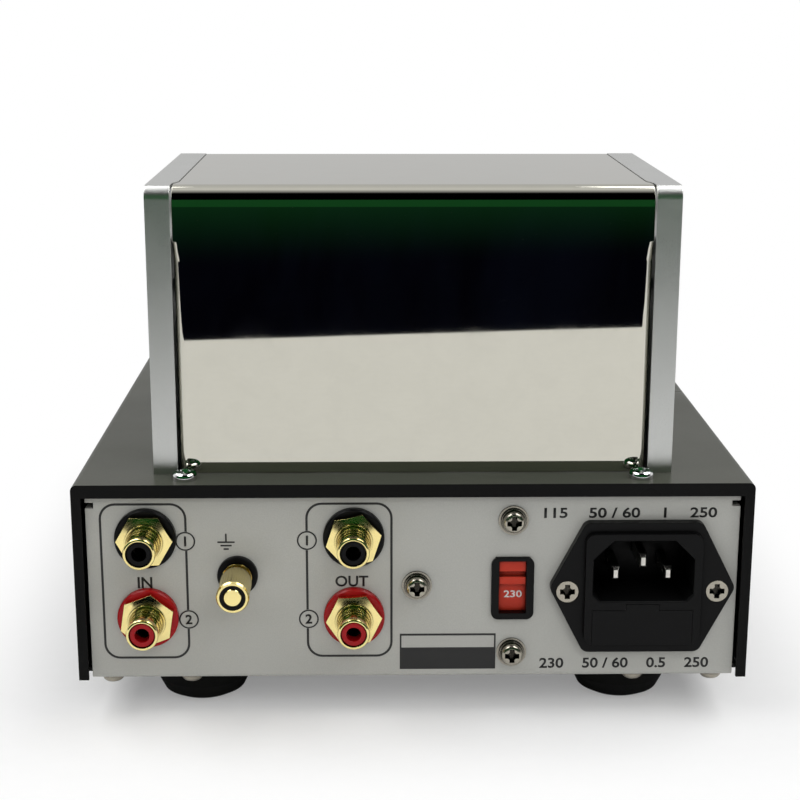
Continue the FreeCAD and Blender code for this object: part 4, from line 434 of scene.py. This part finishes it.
# Plated parts carry painted shade in their hollows, out to reach.
frame_steel = plated("frame_zinc", (0.62, 0.62, 0.60), 0.30)
front_metal = brushed("front_brushed", (0.60, 0.60, 0.59), 0.30, "x", 0.07)
cage_metal = satin("cage_satin", SATIN, 0.29)
mirror = polished("mirror_polish", (0.535, 0.522, 0.457), 0.018, 0.02, 0.004 * MM)
chrome = polished("chrome_plate", (0.72, 0.72, 0.72), 0.05, 0.08, edge=0.15 * MM)
# Painted shade darkens the screws' recesses and washers, and the inlet's pins deep in their socket.
zinc = plated("zinc_plate", (0.37, 0.345, 0.29), 0.15, reach=2.6 * MM, low=0.55)
nickel = plated("nickel_plate", (0.62, 0.60, 0.56), 0.16, reach=6.0 * MM, low=0.35)
# Painted shade: the contacts deep in the jacks are made dark so that the bores read black.
contact = plated("contact_dark_as_shade", (0.05, 0.045, 0.038), 0.3)
gold = gold_plate("gold_plate", GOLD, 0.085)
brass = gold_plate("plain_brass", (0.70, 0.50, 0.22), 0.20)
rubber = rubber_look("foot_rubber")
# Painted shade darkens the black moulding deep in the inlet's socket, in colour and reflection, and the
# selector's groove.
black_plastic = moulded("black_moulding", (0.004, 0.004, 0.0042), 0.34, gloss=0.1, reach=9.0 * MM)
red_plastic = moulded("red_moulding", (0.29, 0.004, 0.006), 0.22, 0.3 * MM, 0.003 * MM, spread=0.08,
                      gloss=0.2)
selector_red = moulded("selector_moulding", (0.45, 0.036, 0.018), 0.34, 0.2 * MM, 0.005 * MM, gloss=0.15,
                       reach=1.8 * MM, hollow_shade=0.2)
heat_sink = moulded("black_anodised", (0.02, 0.02, 0.022), 0.34, 0.2 * MM, 0.004 * MM)
ceramic = moulded("ceramic_glaze", (0.80, 0.77, 0.70), 0.16, 0.6 * MM, 0.004 * MM, soft=0.1, spread=0.04)
film = moulded("film_dip", (0.55, 0.24, 0.03), 0.18, 0.5 * MM, 0.01 * MM)
button_metal = brushed("button_spun", (0.70, 0.70, 0.69), 0.22, "x", 0.05)
glass = clear_glass("tube_glass")
electrode = electrodes("electrode_metal", MICA_LOW, MICA_HIGH, 0.6 * MM)
board = circuit_board("board_laminate")
core = core_look("core_laminations")
winding = winding_look("winding_tape")
wire = wire_look("wire_sleeves")
can = can_look("capacitor_sleeve")
fuse = fuse_look("fuse_glass")
lens = lens_look("light_lens")
ink = ink_look("panel_ink", (0.004, 0.004, 0.004), (0.012, 0.012, 0.012))
white_ink = ink_look("white_ink", (0.72, 0.70, 0.68), (0.5, 0.35, 0.33))
label_black = ink_look("label_black", (0.006, 0.006, 0.006), (0.012, 0.012, 0.012))
label_grey = ink_look("label_grey", (0.37, 0.37, 0.345), (0.42, 0.42, 0.395))
getter = getter_look("getter_flash")

by_slot = {
    "black_steel": black_steel, "grey_steel": grey_steel, "base_steel": base_steel,
    "frame_steel": frame_steel, "front_aluminium": front_metal, "cage_aluminium": cage_metal,
    "mirror_steel": mirror, "chrome": chrome, "zinc": zinc, "rubber": rubber, "gold": gold,
    "black_plastic": black_plastic, "red_plastic": red_plastic, "selector_red": selector_red,
    "contact": nickel, "glass": glass, "electrode": electrode, "ceramic": ceramic, "board": board,
    "film": film, "can": can, "heat_sink": heat_sink, "core": core, "winding": winding, "brass": brass,
    "wire": wire, "lens": lens, "fuse": fuse,
}
by_node = {"power_button": button_metal, "jack_contacts": contact}
for part in frame["record"]["subparts"]:
    held = nodes[part["node"]].data.materials
    wanted = by_node.get(part["node"], by_slot[part["material_slot"]])
    for place in range(len(held)):
        held[place] = wanted


# Print on the rear panel

def new_piece(name, mesh, material, body="case"):
    """A visible piece that rides on a body, with one material or a list of them."""
    made = bpy.data.objects.new(name, mesh)
    bpy.context.scene.collection.objects.link(made)
    for one in (material if isinstance(material, (list, tuple)) else [material]):
        mesh.materials.append(one)
    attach(made, body)
    return made


def letters(words, height, at, facing, width=None, bold=0.022):
    """Numbers or words as flat mesh, centred at a point: facing gives the frame they are written in."""
    curve = bpy.data.curves.new("letters", "FONT")
    curve.body = words
    curve.align_x = "CENTER"
    curve.align_y = "CENTER"
    curve.resolution_u = 4
    curve.offset = bold
    holder = bpy.data.objects.new("letters", curve)
    bpy.context.scene.collection.objects.link(holder)
    bpy.context.view_layer.update()
    mesh = bpy.data.meshes.new_from_object(holder)
    bpy.data.objects.remove(holder)
    xs = [v.co.x for v in mesh.vertices]
    ys = [v.co.y for v in mesh.vertices]
    scale_y = height / (max(ys) - min(ys))
    scale_x = width / (max(xs) - min(xs)) if width else scale_y
    middle = Vector(((max(xs) + min(xs)) / 2, (max(ys) + min(ys)) / 2, 0))
    for v in mesh.vertices:
        flat = v.co - middle
        v.co = at + facing @ Vector((flat.x * scale_x, flat.y * scale_y, 0))
    return mesh


def ring_points(width, height, radius, steps=8):
    """A rounded rectangle's corner points in order, about its middle."""
    points = []
    for corner, (sx, sy) in enumerate(((1, 1), (-1, 1), (-1, -1), (1, -1))):
        for step in range(steps + 1):
            turn = math.radians(90 * (corner + step / steps))
            points.append((sx * (width / 2 - radius) + radius * math.cos(turn),
                           sy * (height / 2 - radius) + radius * math.sin(turn)))
    return points


def add_ring(bm, width, height, radius, line, at, facing, steps=8):
    """A thin closed line round a rounded rectangle, or a circle where the radius is half the width."""
    outer = ring_points(width + line, height + line, radius + line / 2, steps)
    inner = ring_points(width - line, height - line, radius - line / 2, steps)
    rows = [[bm.verts.new(at + facing @ Vector((x, y, 0))) for x, y in ring] for ring in (outer, inner)]
    count = len(outer)
    for i in range(count):
        k = (i + 1) % count
        bm.faces.new((rows[0][i], rows[0][k], rows[1][k], rows[1][i]))


def add_plate(bm, width, height, radius, at, facing, index=0):
    """A filled rounded rectangle in one of the piece's materials."""
    points = ring_points(width, height, radius)
    face = bm.faces.new([bm.verts.new(at + facing @ Vector((x, y, 0))) for x, y in points])
    face.material_index = index


def add_mesh(bm, mesh):
    """Take a mesh over into the one that is being built."""
    bm.from_mesh(mesh)
    bpy.data.meshes.remove(mesh)


# On the rear panel the print's right runs along -X and its normal along +Y.
REAR = Matrix(((-1, 0, 0), (0, 0, 1), (0, 1, 0)))
INK_THICKNESS = 0.02 * MM
# The step out from the panel from one layer of print to the next
LAYER = Vector((0, 0.03 * MM, 0))
PRINT_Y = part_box("rear_panel")[1].y + INK_THICKNESS
FLOOR_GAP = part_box("top_cover")[0].z
SELECTOR_NUMBER_Z = FLOOR_GAP + 22.8 * MM


def on_panel(u, z):
    """A point of the print in mm: u to the right as seen from behind, z up from the cover's lower edge."""
    return Vector((-u * MM, PRINT_Y, FLOOR_GAP + z * MM))


def solid_print(bm, name, material, body="case"):
    """Turn the flat print that was built into a piece with the thickness of ink."""
    mesh = bpy.data.meshes.new(name)
    bm.to_mesh(mesh)
    bm.free()
    made = new_piece(name, mesh, material, body)
    thick = made.modifiers.new("ink", "SOLIDIFY")
    thick.thickness = INK_THICKNESS
    thick.offset = 0.0


# Frames round the jacks, their plain numbers in discs, and plain words and figures.
# Places are pairs for on_panel.
LINE = 0.62 * MM
FRAME_WIDTH = 22.5 * MM
FRAME_CORNER = 4.0 * MM
IN_FRAME = (-71.65, 27.25)
OUT_FRAME = (-17.15, 27.35)
DISC_LINE = 0.36 * MM
DISC = 4.9 * MM
DISC_GROUND = 5.4 * MM
JACK_NUMBERS = (((-60.6, 38.6), "1"), ((-60.25, 16.5), "2"), ((-28.35, 38.7), "1"), ((-28.1, 16.5), "2"))
IN_WORD = (-71.65, 27.05)
OUT_WORD = (-16.5, 27.2)
FIGURES_WIDTH = 46 * MM
UPPER_FIGURES = (57.6, 46.1)
LOWER_FIGURES = (57.2, 3.4)
bm = bmesh.new()
add_ring(bm, FRAME_WIDTH, 43.3 * MM, FRAME_CORNER, LINE, on_panel(*IN_FRAME), REAR)
add_ring(bm, FRAME_WIDTH, 43.1 * MM, FRAME_CORNER, LINE, on_panel(*OUT_FRAME), REAR)
for place, number in JACK_NUMBERS:
    spot = on_panel(*place)
    add_plate(bm, DISC_GROUND, DISC_GROUND, DISC_GROUND / 2, spot + LAYER, REAR, 1)
    add_ring(bm, DISC, DISC, DISC / 2, DISC_LINE, spot + 2 * LAYER, REAR, 12)
    add_mesh(bm, letters(number, 2.7 * MM, spot + 2 * LAYER, REAR))
add_mesh(bm, letters("IN", 3.1 * MM, on_panel(*IN_WORD), REAR))
add_mesh(bm, letters("OUT", 3.1 * MM, on_panel(*OUT_WORD), REAR))
add_mesh(bm, letters("115    50 / 60    1    250", 2.9 * MM, on_panel(*UPPER_FIGURES), REAR, FIGURES_WIDTH))
add_mesh(bm, letters("230    50 / 60    0.5    250", 3.0 * MM, on_panel(*LOWER_FIGURES), REAR, FIGURES_WIDTH))

# The earth sign over the ground post: three bars under a stem
EARTH_X = -49.8
EARTH_LINE = 0.45 * MM
EARTH_CORNER = 0.1 * MM
for row, width in enumerate((4.6, 3.0, 1.4)):
    add_plate(bm, width * MM, EARTH_LINE, EARTH_CORNER, on_panel(EARTH_X, 38.3 - 0.95 * row), REAR)
add_plate(bm, EARTH_LINE, 2.4 * MM, EARTH_CORNER, on_panel(EARTH_X, 39.5), REAR)
solid_print(bm, "panel_print", [ink, grey_steel])

# A blank plate of two fields
PLATE_X = 9.3
bm = bmesh.new()
add_plate(bm, 25.9 * MM, 10.25 * MM, 0.15 * MM, on_panel(PLATE_X, 6.95), REAR, 0)
add_plate(bm, 25.0 * MM, 3.4 * MM, 0.1 * MM, on_panel(PLATE_X, 9.8) + LAYER, REAR, 1)
solid_print(bm, "label_plate", [label_black, label_grey])

# The number on the selector's lower plate, in white
slide = nodes["selector_slide"]
faces = [f for f in slide.data.polygons if f.normal.y > 0.9]
lower = max(faces, key=lambda f: f.area)
middle = (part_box("selector_slide")[0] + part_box("selector_slide")[1]) / 2
bm = bmesh.new()
number_at = Vector((middle.x - 0.3 * MM, lower.center.y + INK_THICKNESS, SELECTOR_NUMBER_Z))
add_mesh(bm, letters("230", 2.0 * MM, number_at, REAR, 4.9 * MM))
solid_print(bm, "selector_number", white_ink, "selector_slide")


# Getter flash in each tube

GLASS_WALL = 1.15 * MM
GLASS_TIP = 4.0 * MM
DOME_STEPS = 9
SKIRT_STEPS = 5
SKIRT_DROP = 1.2 * MM
SIDES = 36


def flash(number):
    """A thin cap under the glass's dome, a little inside it, with a short skirt."""
    low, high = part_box(f"tube_glass_{number}")
    centre = (low + high) / 2
    radius = (high.x - low.x) / 2 - GLASS_WALL
    top = high.z - GLASS_TIP - GLASS_WALL
    around = [2 * math.pi * k / SIDES for k in range(SIDES)]
    bm = bmesh.new()
    rows = []
    for step in range(DOME_STEPS + 1 + SKIRT_STEPS):
        turn = math.radians(90 * min(step, DOME_STEPS) / DOME_STEPS)
        drop = max(0, step - DOME_STEPS) * SKIRT_DROP
        reach = max(radius * math.sin(turn), 0.05 * MM)
        height = top - radius * (1 - math.cos(turn)) - drop
        rim = [Vector((centre.x + reach * math.cos(angle), centre.y + reach * math.sin(angle), height))
               for angle in around]
        rows.append([bm.verts.new(point) for point in rim])
    for upper, lower in zip(rows, rows[1:]):
        for k in range(SIDES):
            after = (k + 1) % SIDES
            bm.faces.new((upper[k], lower[k], lower[after], upper[after]))
    bm.faces.new(rows[0])
    for face in bm.faces:
        face.smooth = True
    mesh = bpy.data.meshes.new("getter_flash")
    bm.to_mesh(mesh)
    bm.free()
    new_piece(f"getter_flash_{number}", mesh, getter)


for number in (1, 2, 3):
    flash(number)


# Camera

# The camera's place and turn, in metres and radians, and its lens in mm, from a fit to the case's edges
CAMERA_AT = Vector((0.010787, 0.520762, FLOOR_GAP + 0.180878))
CAMERA_TURN = (0.01724, 0.24678, 0.0014)
CAMERA_LENS = 73.554
CAMERA_SENSOR = 36


def set_camera():
    """Look forward and a little down at the rear panel."""
    yaw, pitch, roll = CAMERA_TURN
    forward = Vector((-math.sin(yaw) * math.cos(pitch), -math.cos(yaw) * math.cos(pitch), -math.sin(pitch)))
    right = Vector((-math.cos(yaw), math.sin(yaw), 0))
    up = Vector((-math.sin(yaw) * math.sin(pitch), -math.cos(yaw) * math.sin(pitch), math.cos(pitch)))
    c, s = math.cos(roll), math.sin(roll)
    right, up = c * right + s * up, -s * right + c * up
    data = bpy.data.cameras.new("camera")
    data.lens = CAMERA_LENS
    data.sensor_width = CAMERA_SENSOR
    data.clip_start = 0.01
    data.clip_end = 50
    made = bpy.data.objects.new("camera", data)
    bpy.context.scene.collection.objects.link(made)
    turn = Matrix((right, up, -forward)).transposed().to_4x4()
    made.matrix_world = Matrix.Translation(CAMERA_AT) @ turn
    bpy.context.scene.camera = made


set_camera()


# Stage and light

# Beyond this half width and half depth the floor fades to white, over the width of FADE
FIELD_X = 0.09
FIELD_Y = 0.12
FADE = 0.055


def floor_look():
    """Pale floor: lit and shadowed near the object, fading to plain white further out for the camera."""
    look = Look("floor_paper")
    path = look.add("ShaderNodeLightPath")
    grain = look.noise(6 * MM, 3.0, 0.5)
    pale = look.tint(look.span(grain, 0.3, 0.7), (0.955, 0.955, 0.955), (0.975, 0.975, 0.975))
    look.set(Base_Color=pale, Roughness=look.span(grain, 0.3, 0.7, 0.85, 0.95))
    look.shader.inputs["Specular IOR Level"].default_value = 0.0
    x = look.sums("MAXIMUM", look.sums("SUBTRACT", look.sums("ABSOLUTE", look.axis(0)), FIELD_X), 0.0)
    y = look.sums("MAXIMUM", look.sums("SUBTRACT", look.sums("ABSOLUTE", look.axis(1)), FIELD_Y), 0.0)
    away = look.sums("SQRT", look.sums("ADD", look.sums("MULTIPLY", x, x), look.sums("MULTIPLY", y, y)))
    far = look.span(away, 0.0, FADE, 0.25, 1.0, smooth=True)
    camera = look.sums("MAXIMUM", path.outputs["Is Camera Ray"], path.outputs["Is Transmission Ray"])
    white = look.add("ShaderNodeEmission", {"Color": (1, 1, 1, 1), "Strength": 1.0}).outputs[0]
    share = look.sums("MULTIPLY", far, camera)
    mix = look.add("ShaderNodeMixShader", {0: share, 1: look.shader.outputs[0], 2: white})
    look.tree.links.new(mix.outputs[0], look.tree.nodes["Material Output"].inputs["Surface"])
    return look.material


def flat_sheet(name, corners, material):
    """One flat face of the stage."""
    mesh = bpy.data.meshes.new(name)
    mesh.from_pydata(corners, [], [tuple(range(len(corners)))])
    made = bpy.data.objects.new(name, mesh)
    bpy.context.scene.collection.objects.link(made)
    mesh.materials.append(material)
    return made


def only_in_reflections(thing):
    """Hide a thing from everything but glossy rays."""
    thing.visible_camera = False
    thing.visible_diffuse = False
    thing.visible_transmission = False
    thing.visible_shadow = False
    thing.visible_volume_scatter = False


def card_look():
    """A plain dark room beyond the table for the polished back to show: dark cloth, a dim green higher up."""
    look = Look("dark_card")
    folds = look.noise(60 * MM, 3.0, 0.6, (1.0, 1.0, 0.35), 0.5)
    cloth = look.tint(look.span(folds, 0.4, 0.75), (0.001, 0.001, 0.003), (0.003, 0.004, 0.010))
    rise = look.span(look.axis(2), 40 * MM, 120 * MM, smooth=True)
    colour = look.tint(rise, cloth, (0.01, 0.08, 0.02))
    glow = look.add("ShaderNodeEmission", {"Color": colour, "Strength": 1.0}).outputs[0]
    look.tree.links.new(glow, look.tree.nodes["Material Output"].inputs["Surface"])
    return look.material


def lamp(name, size, at, aim, power, glossy=True, diffuse=True, top="Y"):
    """A rectangular soft light that the camera doesn't see; top is the axis that is kept upright."""
    data = bpy.data.lights.new(name, "AREA")
    data.shape = "RECTANGLE"
    data.size, data.size_y = size
    data.energy = power
    made = bpy.data.objects.new(name, data)
    bpy.context.scene.collection.objects.link(made)
    made.location = at
    made.rotation_euler = (Vector(aim) - Vector(at)).to_track_quat("-Z", top).to_euler()
    made.visible_glossy = glossy
    made.visible_diffuse = diffuse
    made.visible_camera = False


def set_world():
    """White for the camera, an even soft light for the surfaces, and a room for reflections."""
    world = bpy.data.worlds.new("studio")
    bpy.context.scene.world = world
    world.use_nodes = True
    tree = world.node_tree
    tree.nodes.clear()
    out = tree.nodes.new("ShaderNodeOutputWorld")
    path = tree.nodes.new("ShaderNodeLightPath")
    where = tree.nodes.new("ShaderNodeTexCoord").outputs["Generated"]
    split = tree.nodes.new("ShaderNodeSeparateXYZ")
    tree.links.new(where, split.inputs[0])

    def joined(operation, *values):
        node = tree.nodes.new("ShaderNodeMath")
        node.operation = operation
        for socket, value in zip(node.inputs, values):
            if isinstance(value, (int, float)):
                socket.default_value = value
            else:
                tree.links.new(value, socket)
        return node.outputs[0]

    def mixed(share, first, second):
        node = tree.nodes.new("ShaderNodeMix")
        node.data_type = "RGBA"
        for socket, value in zip((node.inputs[0], node.inputs[6], node.inputs[7]), (share, first, second)):
            if isinstance(value, tuple):
                socket.default_value = (*value, 1)
            else:
                tree.links.new(value, socket)
        return node.outputs[2]

    # A pale wall beyond the object, a bright ceiling, and a dark room behind the camera
    room = tree.nodes.new("ShaderNodeValToRGB")
    tree.links.new(joined("MULTIPLY_ADD", split.outputs[1], 0.5, 0.5), room.inputs[0])
    wall, ceiling, dark = (0.6, 0.6, 0.6), (0.95, 0.95, 0.95), (0.0, 0.0, 0.0)
    colour_stops(room.color_ramp, ((0.0, wall), (0.4, ceiling), (0.65, dark)))
    soft = mixed(path.outputs["Is Glossy Ray"], (0.27, 0.27, 0.27), room.outputs[0])
    seen = joined("MAXIMUM", path.outputs["Is Camera Ray"], path.outputs["Is Transmission Ray"])
    white = mixed(seen, soft, (1.0, 1.0, 1.0))
    background = tree.nodes.new("ShaderNodeBackground")
    tree.links.new(white, background.inputs[0])
    background.inputs[1].default_value = 1.0
    tree.links.new(background.outputs[0], out.inputs[0])


HALF = 6.0
flat_sheet("floor", [(-HALF, -HALF, 0), (HALF, -HALF, 0), (HALF, HALF, 0), (-HALF, HALF, 0)], floor_look())

# The table's far edge, as the polished back shows it, is the foot of an upright dark card.
CARD_A = Vector((0.115, 0.586, 0.0))
CARD_B = Vector((-0.146, 0.621, 0.0))
CARD_REACH = 3
CARD_HEIGHT = Vector((0, 0, 0.45))
card_left = CARD_A + (CARD_A - CARD_B) * CARD_REACH
card_right = CARD_B - (CARD_A - CARD_B) * CARD_REACH
card_corners = [card_left, card_right, card_right + CARD_HEIGHT, card_left + CARD_HEIGHT]
only_in_reflections(flat_sheet("dark_card", card_corners, card_look()))

# Soft boxes over the sides, strips beside them that only gleam, and a broad soft light from behind the camera
LAMP_HEIGHT = 0.95
for side in (1, -1):
    aim = (side * 0.1, 0.10, 0.0)
    lamp(f"soft_box_{side + 2}", (0.55, 1.2), (side * 0.68, 0.10, LAMP_HEIGHT), aim, 6.2, top="X")
    lamp(f"gleam_{side + 2}", (0.22, 1.1), (side * 0.37, 0.05, LAMP_HEIGHT), aim, 3.2, diffuse=False, top="X")
lamp("fill", (0.9, 0.6), (-0.2, 1.05, 0.80), (0, 0.1, 0.05), 4.6, glossy=False)
set_world()

scene = bpy.context.scene
scene.view_settings.view_transform = "Standard"
